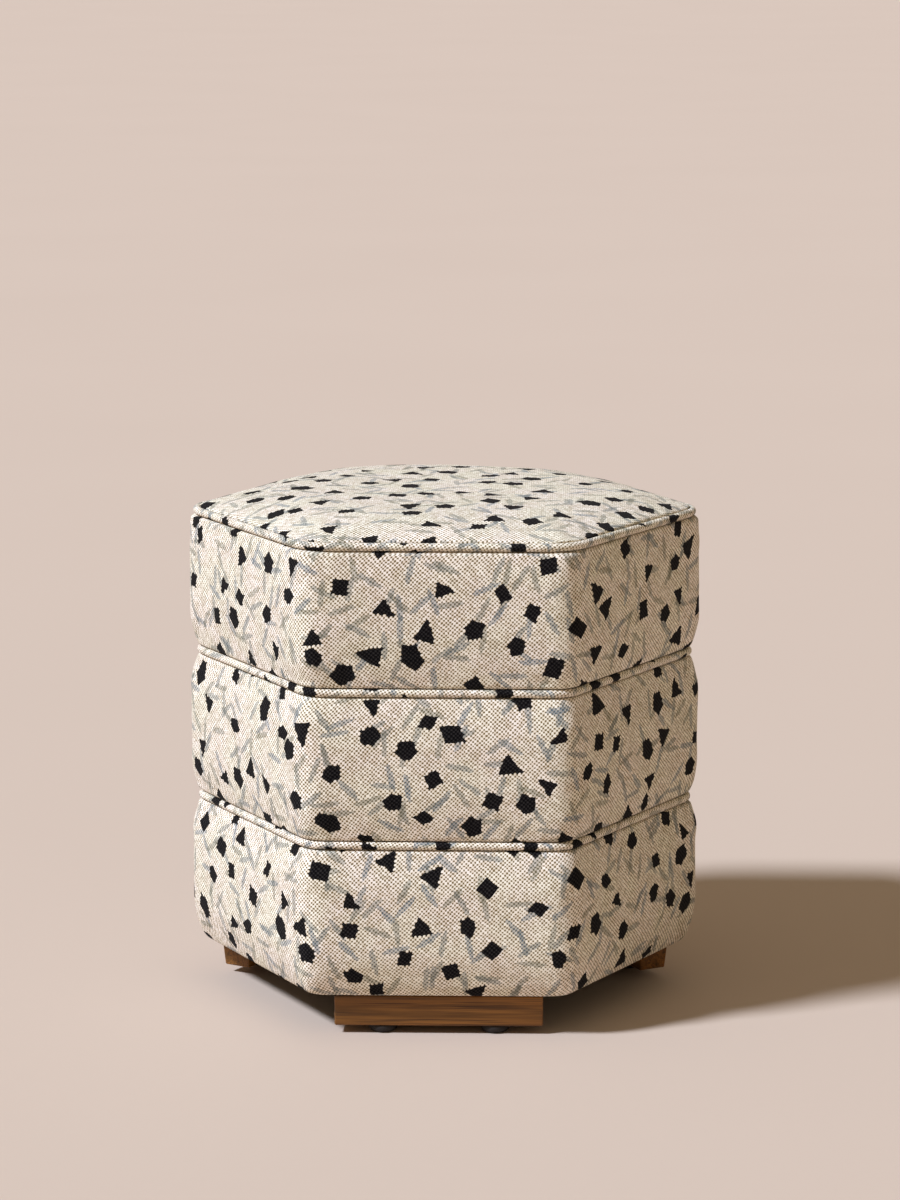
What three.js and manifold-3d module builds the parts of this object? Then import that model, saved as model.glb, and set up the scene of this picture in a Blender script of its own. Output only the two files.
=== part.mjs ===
// A hexagonal tuffet with three upholstered tiers, on three hardwood foot blocks.
// Millimetres, +Z up. The origin is on the floor under the middle, and the front side faces -Y.

import * as THREE from 'three';
import { mergeVertices } from 'three/addons/utils/BufferGeometryUtils.js';
import Module from 'manifold-3d';

const wasm = await Module();
wasm.setup();

// The outside of the upholstery
const SIDES = 6;
const WIDTH_ACROSS_FLATS = 403.5;
const BOTTOM_TIER_HEIGHT = 135.7;
const MIDDLE_TIER_HEIGHT = 134.5;
const TOP_TIER_HEIGHT = 127.7;
const SEAT_CROWN = 22;
const CORNER_RADIUS = 20;
const SEAM_CORNER_RADIUS = 24;
const SEAT_CORNER_RADIUS = 38;

// How the cover is drawn in: at the two seams, at the seat's edge and under the bottom edge
const SEAM_DRAW_IN = 8;
const SEAT_EDGE_SET_BACK = 4;
const SEAM_ROLL_OUT = 2.8;
const SEAM_ROLL_HEIGHT = 3.4;
const SHOULDER_HEIGHT = 30;
const BOTTOM_ROLL_DEPTH = 14;
const BOTTOM_ROLL_HEIGHT = 50;
const HEM_WIDTH = 11;

// Cover, piping and padding
const COVER_THICKNESS = 1.2;
const CORD_DIAMETER = 4.4;
const SEAM_ALLOWANCE = 6.5;
const WADDING_THICKNESS = 5;
const SEAT_FOAM_DEPTH = 48;
const FOAM_INNER_CORNER_RADIUS = 1.2;
const DUST_COVER_THICKNESS = 0.8;
const DUST_COVER_INSET = 5;

// Timber frame
const PANEL_THICKNESS = 4;
const BASE_THICKNESS = 15;
const BASE_CORNER_RADIUS = 12;
const DECK_THICKNESS = 12;
const RING_THICKNESS = 15;
const RING_WIDTH = 45;
const POST_WIDTH = 30;
const POST_DEPTH = 18;

// Foot blocks, with the outer face sloping in towards the floor
const FOOT_LENGTH = 182;
const FOOT_THICKNESS = 30;
const FOOT_HEIGHT = 28;
const FOOT_TAPER = 4;
const FOOT_EASE = 1.5;

// Bolts and tee nuts that hold the foot blocks
const BOLT_SPACING = 44;
const BOLT_DIAMETER = 6;
const BOLT_HEAD_DIAMETER = 11;
const BOLT_HEAD_HEIGHT = 3.5;
const BOLT_SOCKET_DIAMETER = 4.6;
const BOLT_SOCKET_DEPTH = 2;
const BOLT_SOCKET_SIDES = 6;
const COUNTERBORE_DIAMETER = 13;
const COUNTERBORE_DEPTH = 10;
const NUT_FLANGE_DIAMETER = 17;
const NUT_FLANGE_THICKNESS = 1.4;
const NUT_BARREL_WALL = 0.9;
const NUT_BARREL_LENGTH = 10;

// Nail-on glides under the foot blocks
const GLIDE_SPACING = 98;
const GLIDE_DIAMETER = 25;
const GLIDE_FLAT_DIAMETER = 16;
const GLIDE_HEIGHT = 7.4;
const GLIDE_RIM_HEIGHT = 3.6;
const GLIDE_NAIL_DIAMETER = 2.4;
const GLIDE_NAIL_LENGTH = 13;
const GLIDE_NAIL_POINT = 2;

// Gaps between neighbours, and how far a cutting tool runs past a face
const CLEARANCE = 0.3;
const PIPING_CLEARANCE = 0.5;
const OVERRUN = 2;

// How finely curves are divided
const CORNER_STEPS = 3;
const SEAT_SIDE_STEPS = 2;
const SHOULDER_STEPS = 4;
const LINING_STEPS = 2;
const PIPING_STEPS = 6;
const ROUND_STEPS = 12;
const HUG_SHARES = [0, 0.5, 1];
const SEAM_ROLL_SHARES = [0.5, 1];
const CROWN_SHARES = [0.25, 0.5, 0.74, 0.9, 0.97];
const CROWN_POWER = 4;

// Angles of a hexagon with corners on the X axis
const QUARTER_TURN = Math.PI / 2;
const CORNER_ANGLE = (2 * Math.PI) / SIDES;
const HALF_CORNER = CORNER_ANGLE / 2;

// Heights, from the floor up
const footTop = GLIDE_HEIGHT + FOOT_HEIGHT;
const dustCoverBottom = footTop + CLEARANCE;
const coverBottom = dustCoverBottom + DUST_COVER_THICKNESS + CLEARANCE;
const baseBottom = coverBottom + COVER_THICKNESS + CLEARANCE;
const baseTop = baseBottom + BASE_THICKNESS;
const lowerSeamHeight = coverBottom + BOTTOM_TIER_HEIGHT;
const upperSeamHeight = lowerSeamHeight + MIDDLE_TIER_HEIGHT;
const seatEdgeHeight = upperSeamHeight + TOP_TIER_HEIGHT;
const deckTop = seatEdgeHeight - SEAT_FOAM_DEPTH;
const deckBottom = deckTop - DECK_THICKNESS;

// Distances from the middle to a side, from the outside in
const tierApothem = WIDTH_ACROSS_FLATS / 2;
const pipingBore = CORD_DIAMETER / 2 + CLEARANCE;
const pipingRadius = pipingBore + COVER_THICKNESS;
const pipingHug = pipingRadius + PIPING_CLEARANCE;
const seamApothem = tierApothem - SEAM_DRAW_IN;
const seatEdgeApothem = tierApothem - SEAT_EDGE_SET_BACK;
const panelFace = seamApothem - pipingHug - SEAM_ALLOWANCE;
const frameApothem = panelFace - PANEL_THICKNESS - CLEARANCE;
const baseApothem = tierApothem - BOTTOM_ROLL_DEPTH - COVER_THICKNESS - CLEARANCE;
const boltApothem = frameApothem - NUT_FLANGE_DIAMETER / 2 - CLEARANCE;
const glideInset = FOOT_TAPER / 2;

// A fold in the piping's cover is two plies with a slit between them
const slitHalf = CLEARANCE / 2;
const foldHalf = slitHalf + COVER_THICKNESS;

// Depths under the face of the cover
const liningDepth = COVER_THICKNESS;
const paddingDepth = COVER_THICKNESS + CLEARANCE;
const waddingBottomDepth = paddingDepth + WADDING_THICKNESS;
const seatFoamDepth = waddingBottomDepth + CLEARANCE;

// The three piping lines: where the cord's centre runs and where the sewn fold ends
const lowerSeam = {
  height: lowerSeamHeight,
  apothem: seamApothem,
  cornerRadius: SEAM_CORNER_RADIUS,
  foldApothem: panelFace + CLEARANCE,
  foldRadius: FOAM_INNER_CORNER_RADIUS,
};
const upperSeam = { ...lowerSeam, height: upperSeamHeight };
const seatEdge = {
  height: seatEdgeHeight,
  apothem: seatEdgeApothem,
  cornerRadius: SEAT_CORNER_RADIUS,
  foldApothem: seatEdgeApothem - pipingHug - SEAM_ALLOWANCE,
  foldRadius: SEAT_CORNER_RADIUS - pipingHug - SEAM_ALLOWANCE,
};

// The feet stand under every other side
const feetPlaces = [
  { name: 'front', angle: -QUARTER_TURN },
  { name: 'back_right', angle: HALF_CORNER },
  { name: 'back_left', angle: Math.PI - HALF_CORNER },
];

const materials = {
  fabric: finish(0xe6dac4, 0.92),
  cord: finish(0xefe9dc, 0.9),
  foam: finish(0xe9dfa8, 0.95),
  wadding: finish(0xf4f4f0, 1),
  lining: finish(0x1d1c1c, 0.95),
  plywood: finish(0xc8a878, 0.8),
  hardboard: finish(0x7d5a3c, 0.85),
  walnut: finish(0x5d3c22, 0.5),
  steel: finish(0xb4b6b8, 0.35, 1),
  glide: finish(0x2b2320, 0.6),
};

function finish(color, roughness, metalness = 0) {
  return new THREE.MeshStandardMaterial({ color, roughness, metalness, flatShading: true });
}

// A point at a distance and an angle from the middle
function polar(distance, angle) {
  return new THREE.Vector2(distance * Math.cos(angle), distance * Math.sin(angle));
}

// The corner of a sharp hexagon that stands at this distance from the middle to a side
function cornerDistance(apothem) {
  return apothem / Math.cos(HALF_CORNER);
}

// A hexagon with rounded corners, as the same number of points whatever its size
function outline(apothem, radius, sideSteps = 1) {
  const points = [];
  for (let corner = 0; corner < SIDES; corner++) {
    const angle = corner * CORNER_ANGLE;
    const centre = polar(cornerDistance(apothem - radius), angle);
    for (let step = 0; step <= CORNER_STEPS; step++) {
      const turn = angle + HALF_CORNER * ((2 * step) / CORNER_STEPS - 1);
      points.push(polar(radius, turn).add(centre));
    }
    const sideStart = points[points.length - 1];
    const nextCentre = polar(cornerDistance(apothem - radius), angle + CORNER_ANGLE);
    const sideEnd = polar(radius, angle + HALF_CORNER).add(nextCentre);
    for (let step = 1; step < sideSteps; step++) {
      points.push(sideStart.clone().lerp(sideEnd, step / sideSteps));
    }
  }
  return points;
}

// A level ring of 3-D points
function ring({ apothem, height, radius }, sideSteps = 1) {
  return outline(apothem, radius, sideSteps).map((p) => new THREE.Vector3(p.x, p.y, height));
}

// Skins a list of rings, with each square split along its shorter diagonal.
// With poles the ends close on two points, otherwise the last ring joins the first.
function skin(rings, poles = null) {
  const count = rings[0].length;
  const points = rings.flat();
  const faces = [];
  const joins = poles ? rings.length - 1 : rings.length;
  for (let level = 0; level < joins; level++) {
    const from = level * count;
    const to = ((level + 1) % rings.length) * count;
    for (let i = 0; i < count; i++) {
      const next = (i + 1) % count;
      const rising = points[from + i].distanceTo(points[to + next]);
      const falling = points[from + next].distanceTo(points[to + i]);
      if (rising < falling) {
        faces.push(from + i, from + next, to + next, from + i, to + next, to + i);
      } else {
        faces.push(from + i, from + next, to + i, from + next, to + next, to + i);
      }
    }
  }
  if (poles) {
    const first = points.push(poles[0]) - 1;
    const last = points.push(poles[1]) - 1;
    const top = (rings.length - 1) * count;
    for (let i = 0; i < count; i++) {
      const next = (i + 1) % count;
      faces.push(first, next, i, last, top + i, top + next);
    }
  }
  const geometry = new THREE.BufferGeometry().setFromPoints(points);
  geometry.setIndex(faces);
  return facingOut(geometry);
}

// Positions alone, with shared points merged
function welded(geometry) {
  const bare = geometry.clone();
  bare.deleteAttribute('normal');
  bare.deleteAttribute('uv');
  return mergeVertices(bare);
}

// Turns every triangle over where the solid is inside out
function facingOut(geometry) {
  const position = geometry.attributes.position;
  const index = geometry.index.array;
  const corners = [new THREE.Vector3(), new THREE.Vector3(), new THREE.Vector3()];
  let volume = 0;
  for (let face = 0; face < index.length; face += 3) {
    corners.forEach((corner, i) => corner.fromBufferAttribute(position, index[face + i]));
    volume += corners[0].dot(corners[1].clone().cross(corners[2]));
  }
  if (volume < 0) {
    for (let face = 0; face < index.length; face += 3) {
      [index[face + 1], index[face + 2]] = [index[face + 2], index[face + 1]];
    }
  }
  return geometry;
}

function toManifold(geometry) {
  const { attributes, index } = facingOut(welded(geometry));
  const vertProperties = attributes.position.array;
  const triVerts = new Uint32Array(index.array);
  return new wasm.Manifold(new wasm.Mesh({ numProp: 3, vertProperties, triVerts }));
}

function cut(geometry, tools) {
  let solid = toManifold(geometry);
  for (const tool of tools) {
    solid = solid.subtract(toManifold(tool));
  }
  const { vertProperties, triVerts } = solid.getMesh();
  const result = new THREE.BufferGeometry();
  result.setAttribute('position', new THREE.BufferAttribute(vertProperties, 3));
  result.setIndex(new THREE.BufferAttribute(triVerts, 1));
  return result;
}

// A prism of a flat outline, standing on the plane Z = 0
function prism(points, height, holes = []) {
  const shape = new THREE.Shape(points);
  shape.holes = holes.map((hole) => new THREE.Path(hole));
  const settings = { depth: height, bevelEnabled: false, steps: 1 };
  return facingOut(welded(new THREE.ExtrudeGeometry(shape, settings)));
}

// A turned piece on the Z axis, from its outline as radius and height
function turned(profile) {
  const points = profile.map(([radius, height]) => new THREE.Vector2(radius, height));
  return facingOut(welded(new THREE.LatheGeometry(points, ROUND_STEPS).rotateX(QUARTER_TURN)));
}

// The radius of a many-sided hole whose flats clear a round piece
function holeRadius(radius) {
  return (radius + CLEARANCE) / Math.cos(Math.PI / ROUND_STEPS);
}

function circle(centre, radius) {
  const points = [];
  for (let step = 0; step < ROUND_STEPS; step++) {
    points.push(polar(radius, (step / ROUND_STEPS) * 2 * Math.PI).add(centre));
  }
  return points;
}

// A drill along Z, from one height to another
function drill(x, y, radius, from, to) {
  return new THREE.CylinderGeometry(radius, radius, to - from, ROUND_STEPS)
    .rotateX(QUARTER_TURN)
    .translate(x, y, (from + to) / 2);
}

function piece(name, geometry, material) {
  const mesh = new THREE.Mesh(geometry, material);
  mesh.name = name;
  return mesh;
}

// One end of a tier's section: from the sewn fold round the piping, over a small roll and out over the
// shoulder. The surface lies at a depth under the cover's face; up is 1 above the piping and -1 below it.
function pipedEnd(line, up, depth, steps) {
  const hug = pipingHug + depth;
  const level = foldHalf + CLEARANCE + depth;
  const points = [{ apothem: line.foldApothem, height: line.height + up * level, radius: line.foldRadius }];
  const firstTurn = Math.asin(level / hug);
  for (const share of HUG_SHARES) {
    const turn = firstTurn + (QUARTER_TURN - firstTurn) * share;
    const inward = hug * Math.cos(turn);
    points.push({
      apothem: line.apothem - inward,
      height: line.height + up * hug * Math.sin(turn),
      radius: line.cornerRadius - inward,
    });
  }
  const fullSwell = tierApothem - line.apothem;
  const swollen = (swell, inset, climb) => ({
    apothem: line.apothem + swell - inset,
    height: line.height + up * climb,
    radius: THREE.MathUtils.lerp(line.cornerRadius, CORNER_RADIUS, swell / fullSwell) - inset,
  });
  const rollTop = pipingHug + SEAM_ROLL_HEIGHT;
  for (const share of SEAM_ROLL_SHARES) {
    const turn = QUARTER_TURN * share;
    const climb = rollTop - (SEAM_ROLL_HEIGHT - depth) * Math.cos(turn);
    points.push(swollen(SEAM_ROLL_OUT * Math.sin(turn), depth * Math.sin(turn), climb));
  }
  const shoulderTop = pipingHug + SHOULDER_HEIGHT;
  for (let step = 1; step <= steps; step++) {
    const share = step / steps;
    const swell = THREE.MathUtils.lerp(SEAM_ROLL_OUT, fullSwell, Math.sin(QUARTER_TURN * share));
    points.push(swollen(swell, depth, THREE.MathUtils.lerp(rollTop, shoulderTop, share)));
  }
  return points;
}

// The rolled bottom edge, from the underside out and up to the tier's full width
function rolledEnd(depth, steps) {
  const points = [];
  for (let step = 0; step <= steps; step++) {
    const turn = QUARTER_TURN * (step / steps);
    points.push({
      apothem: tierApothem - BOTTOM_ROLL_DEPTH + (BOTTOM_ROLL_DEPTH - depth) * Math.sin(turn),
      height: coverBottom + BOTTOM_ROLL_HEIGHT - (BOTTOM_ROLL_HEIGHT - depth) * Math.cos(turn),
      radius: CORNER_RADIUS - depth,
    });
  }
  return points;
}

function hem(depth) {
  return { apothem: baseApothem - HEM_WIDTH, height: coverBottom + depth, radius: BASE_CORNER_RADIUS };
}

// A sleeve of cover fabric between two ends of a section
function sleeve(faceStart, faceEnd, liningStart, liningEnd) {
  const face = [...faceStart, ...[...faceEnd].reverse()];
  const lining = [...liningStart, ...[...liningEnd].reverse()];
  return skin([...face, ...lining.reverse()].map((point) => ring(point)));
}

function coverBands() {
  const piped = (line, up) => [
    pipedEnd(line, up, 0, SHOULDER_STEPS),
    pipedEnd(line, up, liningDepth, LINING_STEPS),
  ];
  const [topFace, topLining] = piped(seatEdge, -1);
  const [upperFace, upperLining] = piped(upperSeam, 1);
  const [underUpperFace, underUpperLining] = piped(upperSeam, -1);
  const [lowerFace, lowerLining] = piped(lowerSeam, 1);
  const [underLowerFace, underLowerLining] = piped(lowerSeam, -1);
  const rollFace = [hem(0), ...rolledEnd(0, SHOULDER_STEPS)];
  const rollLining = [hem(liningDepth), ...rolledEnd(liningDepth, LINING_STEPS)];
  const bands = [
    ['top', sleeve(upperFace, topFace, upperLining, topLining)],
    ['middle', sleeve(lowerFace, underUpperFace, lowerLining, underUpperLining)],
    ['bottom', sleeve(rollFace, underLowerFace, rollLining, underLowerLining)],
  ];
  return bands.map(([name, geometry]) => piece(`cover_band_${name}`, geometry, materials.fabric));
}

function foamBands() {
  const hoop = (points) => skin(points.map((point) => ring(point)));
  const lip = paddingDepth;
  const topBand = [
    ...pipedEnd(upperSeam, 1, lip, LINING_STEPS),
    { apothem: tierApothem - lip, height: deckTop, radius: CORNER_RADIUS - lip },
    { apothem: panelFace + CLEARANCE, height: deckTop, radius: FOAM_INNER_CORNER_RADIUS },
  ];
  const middleBand = [
    ...pipedEnd(lowerSeam, 1, lip, LINING_STEPS),
    ...pipedEnd(upperSeam, -1, lip, LINING_STEPS).reverse(),
  ];
  const boardEdge = { apothem: baseApothem + CLEARANCE, radius: BASE_CORNER_RADIUS + CLEARANCE };
  const bottomBand = [
    { ...boardEdge, height: coverBottom + lip },
    ...rolledEnd(lip, LINING_STEPS),
    ...pipedEnd(lowerSeam, -1, lip, LINING_STEPS).reverse(),
    { apothem: panelFace + CLEARANCE, height: baseTop + CLEARANCE, radius: FOAM_INNER_CORNER_RADIUS },
    { ...boardEdge, height: baseTop + CLEARANCE },
  ];
  return [
    piece('foam_band_top', hoop(topBand), materials.foam),
    piece('foam_band_middle', hoop(middleBand), materials.foam),
    piece('foam_band_bottom', hoop(bottomBand), materials.foam),
  ];
}

// Piping: a cord in a folded strip of the cover fabric, whose two plies reach in to be tacked
function pipings() {
  const meshes = [];
  for (const [name, line] of [['seat', seatEdge], ['upper_seam', upperSeam], ['lower_seam', lowerSeam]]) {
    const fold = (offset) => ({
      apothem: line.foldApothem,
      height: line.height + offset,
      radius: line.foldRadius,
    });
    const arc = (radius, gap) => {
      const start = Math.PI - Math.asin(gap / radius);
      const points = [];
      for (let step = 0; step <= PIPING_STEPS; step++) {
        const turn = start * (1 - (2 * step) / PIPING_STEPS);
        const outward = radius * Math.cos(turn);
        points.push({
          apothem: line.apothem + outward,
          height: line.height + radius * Math.sin(turn),
          radius: line.cornerRadius + outward,
        });
      }
      return points;
    };
    const strip = [
      fold(foldHalf),
      ...arc(pipingRadius, foldHalf),
      fold(-foldHalf),
      fold(-slitHalf),
      ...arc(pipingBore, slitHalf).reverse(),
      fold(slitHalf),
    ];
    meshes.push(piece(`piping_${name}`, skin(strip.map((point) => ring(point))), materials.fabric));
    const cord = arc(CORD_DIAMETER / 2, 0).slice(1);
    meshes.push(piece(`piping_cord_${name}`, skin(cord.map((point) => ring(point))), materials.cord));
  }
  return meshes;
}

// How far up the crown a point lies: 1 in the middle, 0 along the edge and least towards the corners
function crownShare(point, apothem) {
  let share = 1;
  for (let side = 0; side < SIDES / 2; side++) {
    const across = Math.abs(point.dot(polar(1, HALF_CORNER + side * CORNER_ANGLE))) / apothem;
    share *= Math.max(0, 1 - across ** CROWN_POWER);
  }
  return Math.sqrt(share);
}

// The seat's crowned surface at a depth under the cover's face, as rings from the middle out and its top
function crown(depth) {
  const reach = pipingHug * Math.SQRT1_2;
  const apothem = seatEdgeApothem - reach - depth;
  const edgeHeight = seatEdgeHeight + reach - depth;
  const rise = SEAT_CROWN - reach;
  const rings = CROWN_SHARES.map((share) => {
    const level = outline(apothem * share, SEAT_CORNER_RADIUS * share, SEAT_SIDE_STEPS);
    return level.map((p) => new THREE.Vector3(p.x, p.y, edgeHeight + rise * crownShare(p, apothem)));
  });
  return { rings, edge: { apothem, height: edgeHeight }, pole: new THREE.Vector3(0, 0, edgeHeight + rise) };
}

function seatCover() {
  const face = crown(0);
  const lining = crown(liningDepth);
  const foldLevel = foldHalf + CLEARANCE;
  const hugInset = Math.sqrt(pipingHug ** 2 - foldLevel ** 2);
  const foldFace = seatEdgeHeight + foldLevel;
  const foldLining = foldFace + liningDepth;
  const edge = [
    { ...face.edge, radius: SEAT_CORNER_RADIUS },
    { apothem: seatEdgeApothem - hugInset, height: foldFace, radius: SEAT_CORNER_RADIUS },
    { apothem: seatEdge.foldApothem, height: foldFace, radius: seatEdge.foldRadius },
    { apothem: seatEdge.foldApothem, height: foldLining, radius: seatEdge.foldRadius },
    { apothem: lining.edge.apothem - liningDepth, height: foldLining, radius: SEAT_CORNER_RADIUS },
  ].map((point) => ring(point, SEAT_SIDE_STEPS));
  const rings = [...face.rings, ...edge, ...lining.rings.reverse()];
  return piece('seat_cover', skin(rings, [face.pole, lining.pole]), materials.fabric);
}

function seatWadding() {
  const top = crown(paddingDepth);
  const bottom = crown(waddingBottomDepth);
  const rings = [...top.rings, ...bottom.rings.reverse()];
  return piece('seat_wadding', skin(rings, [top.pole, bottom.pole]), materials.wadding);
}

function seatFoam() {
  const top = crown(seatFoamDepth);
  const bottom = deckTop + CLEARANCE;
  const side = [
    ...pipedEnd(seatEdge, -1, paddingDepth, LINING_STEPS),
    { apothem: tierApothem - paddingDepth, height: bottom, radius: CORNER_RADIUS - paddingDepth },
  ];
  const rings = [...top.rings, ...side.map((point) => ring(point, SEAT_SIDE_STEPS))];
  const underside = new THREE.Vector3(0, 0, bottom);
  return piece('seat_foam', skin(rings, [top.pole, underside]), materials.foam);
}

// Where the two bolts of each foot block pass through the base
function boltCentres() {
  const middle = new THREE.Vector2();
  const centres = [];
  for (const { angle } of feetPlaces) {
    for (const side of [-1, 1]) {
      const place = new THREE.Vector2(boltApothem, (side * BOLT_SPACING) / 2);
      centres.push(place.rotateAround(middle, angle));
    }
  }
  return centres;
}

function baseBoard() {
  const barrelHole = holeRadius(BOLT_DIAMETER / 2 + CLEARANCE + NUT_BARREL_WALL);
  const holes = boltCentres().map((centre) => circle(centre, barrelHole));
  const edge = outline(baseApothem, BASE_CORNER_RADIUS);
  const board = piece('base_board', prism(edge, BASE_THICKNESS, holes), materials.plywood);
  board.position.z = baseBottom;
  return board;
}

function dustCover() {
  const holes = boltCentres().map((centre) => circle(centre, holeRadius(BOLT_DIAMETER / 2)));
  const edge = outline(baseApothem - DUST_COVER_INSET, BASE_CORNER_RADIUS);
  const sheet = piece('dust_cover', prism(edge, DUST_COVER_THICKNESS, holes), materials.lining);
  sheet.position.z = dustCoverBottom;
  return sheet;
}

function deckBoard() {
  const points = [];
  for (let corner = 0; corner < SIDES; corner++) {
    points.push(polar(cornerDistance(frameApothem), corner * CORNER_ANGLE));
  }
  const board = piece('deck_board', prism(points, DECK_THICKNESS), materials.plywood);
  board.position.z = deckBottom;
  return board;
}

// The five corners of a post's section, grown by a gap on the faces that a ring is notched for
function postSection(angle, gap) {
  const tip = polar(cornerDistance(frameApothem), angle);
  const flank = (side) => {
    const along = tip.clone().add(polar(POST_WIDTH + gap, angle + side * (Math.PI - CORNER_ANGLE)));
    const inside = along.clone().sub(polar(POST_DEPTH + gap, angle + side * HALF_CORNER));
    return [along, inside];
  };
  const [left, leftInside] = flank(1);
  const [right, rightInside] = flank(-1);
  return { tip, left, leftInside, right, rightInside };
}

function cornerPosts() {
  const names = ['right', 'back_right', 'back_left', 'left', 'front_left', 'front_right'];
  return names.map((name, corner) => {
    const { tip, left, leftInside, right, rightInside } = postSection(corner * CORNER_ANGLE, 0);
    const length = deckBottom - baseTop - 2 * CLEARANCE;
    const post = prism([tip, left, leftInside, rightInside, right], length);
    const mesh = piece(`corner_post_${name}`, post, materials.plywood);
    mesh.position.z = baseTop + CLEARANCE;
    return mesh;
  });
}

// Plywood rings behind the two seams, notched round the posts, for tacking the cover through the panels
function tackRings() {
  const edge = [];
  const inside = [];
  for (let corner = 0; corner < SIDES; corner++) {
    const { left, leftInside, right, rightInside } = postSection(corner * CORNER_ANGLE, CLEARANCE);
    edge.push(right, rightInside, leftInside, left);
    inside.push(polar(cornerDistance(frameApothem - RING_WIDTH), corner * CORNER_ANGLE));
  }
  return [['lower', lowerSeamHeight], ['upper', upperSeamHeight]].map(([name, height]) => {
    const mesh = piece(`tack_ring_${name}`, prism(edge, RING_THICKNESS, [inside]), materials.plywood);
    mesh.position.z = height - RING_THICKNESS / 2;
    return mesh;
  });
}

// Thin panels mitred round the frame, from the base to the top of the deck
function sidePanels() {
  const names = ['back_right', 'back', 'back_left', 'front_left', 'front', 'front_right'];
  const innerFace = panelFace - PANEL_THICKNESS;
  const halfLength = (apothem) => apothem * Math.tan(HALF_CORNER) - CLEARANCE;
  const section = [
    new THREE.Vector2(innerFace, -halfLength(innerFace)),
    new THREE.Vector2(panelFace, -halfLength(panelFace)),
    new THREE.Vector2(panelFace, halfLength(panelFace)),
    new THREE.Vector2(innerFace, halfLength(innerFace)),
  ];
  const height = deckTop - baseTop - CLEARANCE;
  return names.map((name, side) => {
    const panel = piece(`side_panel_${name}`, prism(section, height), materials.hardboard);
    panel.position.z = baseTop + CLEARANCE;
    panel.rotation.z = HALF_CORNER + side * CORNER_ANGLE;
    return panel;
  });
}

// A foot block with its length along Y and its outer face towards +X
function footBlock() {
  const half = FOOT_THICKNESS / 2 - FOOT_EASE;
  const lift = FOOT_HEIGHT - FOOT_EASE;
  const shape = new THREE.Shape();
  shape.moveTo(-half, FOOT_EASE);
  shape.lineTo(half - FOOT_TAPER, FOOT_EASE);
  shape.lineTo(half, lift);
  shape.lineTo(-half, lift);
  shape.closePath();
  const depth = FOOT_LENGTH - 2 * FOOT_EASE;
  const bevel = { bevelThickness: FOOT_EASE, bevelSize: FOOT_EASE, bevelSegments: 2 };
  const block = new THREE.ExtrudeGeometry(shape, { depth, steps: 1, ...bevel })
    .rotateX(QUARTER_TURN)
    .translate(0, depth / 2, 0);
  const boltHole = holeRadius(BOLT_DIAMETER / 2);
  const nailHole = holeRadius(GLIDE_NAIL_DIAMETER / 2);
  const tools = [];
  for (const side of [-1, 1]) {
    const boltPlace = (side * BOLT_SPACING) / 2;
    const glidePlace = (side * GLIDE_SPACING) / 2;
    tools.push(
      drill(0, boltPlace, boltHole, -OVERRUN, FOOT_HEIGHT + OVERRUN),
      drill(0, boltPlace, COUNTERBORE_DIAMETER / 2, -OVERRUN, COUNTERBORE_DEPTH),
      drill(-glideInset, glidePlace, nailHole, -OVERRUN, GLIDE_NAIL_LENGTH + OVERRUN),
    );
  }
  return cut(block, tools);
}

function bolt(length) {
  const headRadius = BOLT_HEAD_DIAMETER / 2;
  const shankRadius = BOLT_DIAMETER / 2;
  const blank = turned([
    [0, 0],
    [headRadius, 0],
    [headRadius, BOLT_HEAD_HEIGHT],
    [shankRadius, BOLT_HEAD_HEIGHT],
    [shankRadius, BOLT_HEAD_HEIGHT + length],
    [0, BOLT_HEAD_HEIGHT + length],
  ]);
  const keyRadius = BOLT_SOCKET_DIAMETER / 2;
  const socketLength = BOLT_SOCKET_DEPTH + OVERRUN;
  const socket = new THREE.CylinderGeometry(keyRadius, keyRadius, socketLength, BOLT_SOCKET_SIDES)
    .rotateX(QUARTER_TURN)
    .translate(0, 0, (BOLT_SOCKET_DEPTH - OVERRUN) / 2);
  return cut(blank, [socket]);
}

function teeNut() {
  const bore = holeRadius(BOLT_DIAMETER / 2);
  const barrel = BOLT_DIAMETER / 2 + CLEARANCE + NUT_BARREL_WALL;
  const flange = NUT_FLANGE_DIAMETER / 2;
  return turned([
    [bore, -NUT_BARREL_LENGTH],
    [barrel, -NUT_BARREL_LENGTH],
    [barrel, 0],
    [flange, 0],
    [flange, NUT_FLANGE_THICKNESS],
    [bore, NUT_FLANGE_THICKNESS],
    [bore, -NUT_BARREL_LENGTH],
  ]);
}

function glide() {
  const top = GLIDE_HEIGHT - CLEARANCE;
  const nailRadius = GLIDE_NAIL_DIAMETER / 2;
  return turned([
    [0, 0],
    [GLIDE_FLAT_DIAMETER / 2, 0],
    [GLIDE_DIAMETER / 2, GLIDE_RIM_HEIGHT],
    [GLIDE_DIAMETER / 2, top],
    [nailRadius, top],
    [nailRadius, GLIDE_HEIGHT + GLIDE_NAIL_LENGTH - GLIDE_NAIL_POINT],
    [0, GLIDE_HEIGHT + GLIDE_NAIL_LENGTH],
  ]);
}

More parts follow.
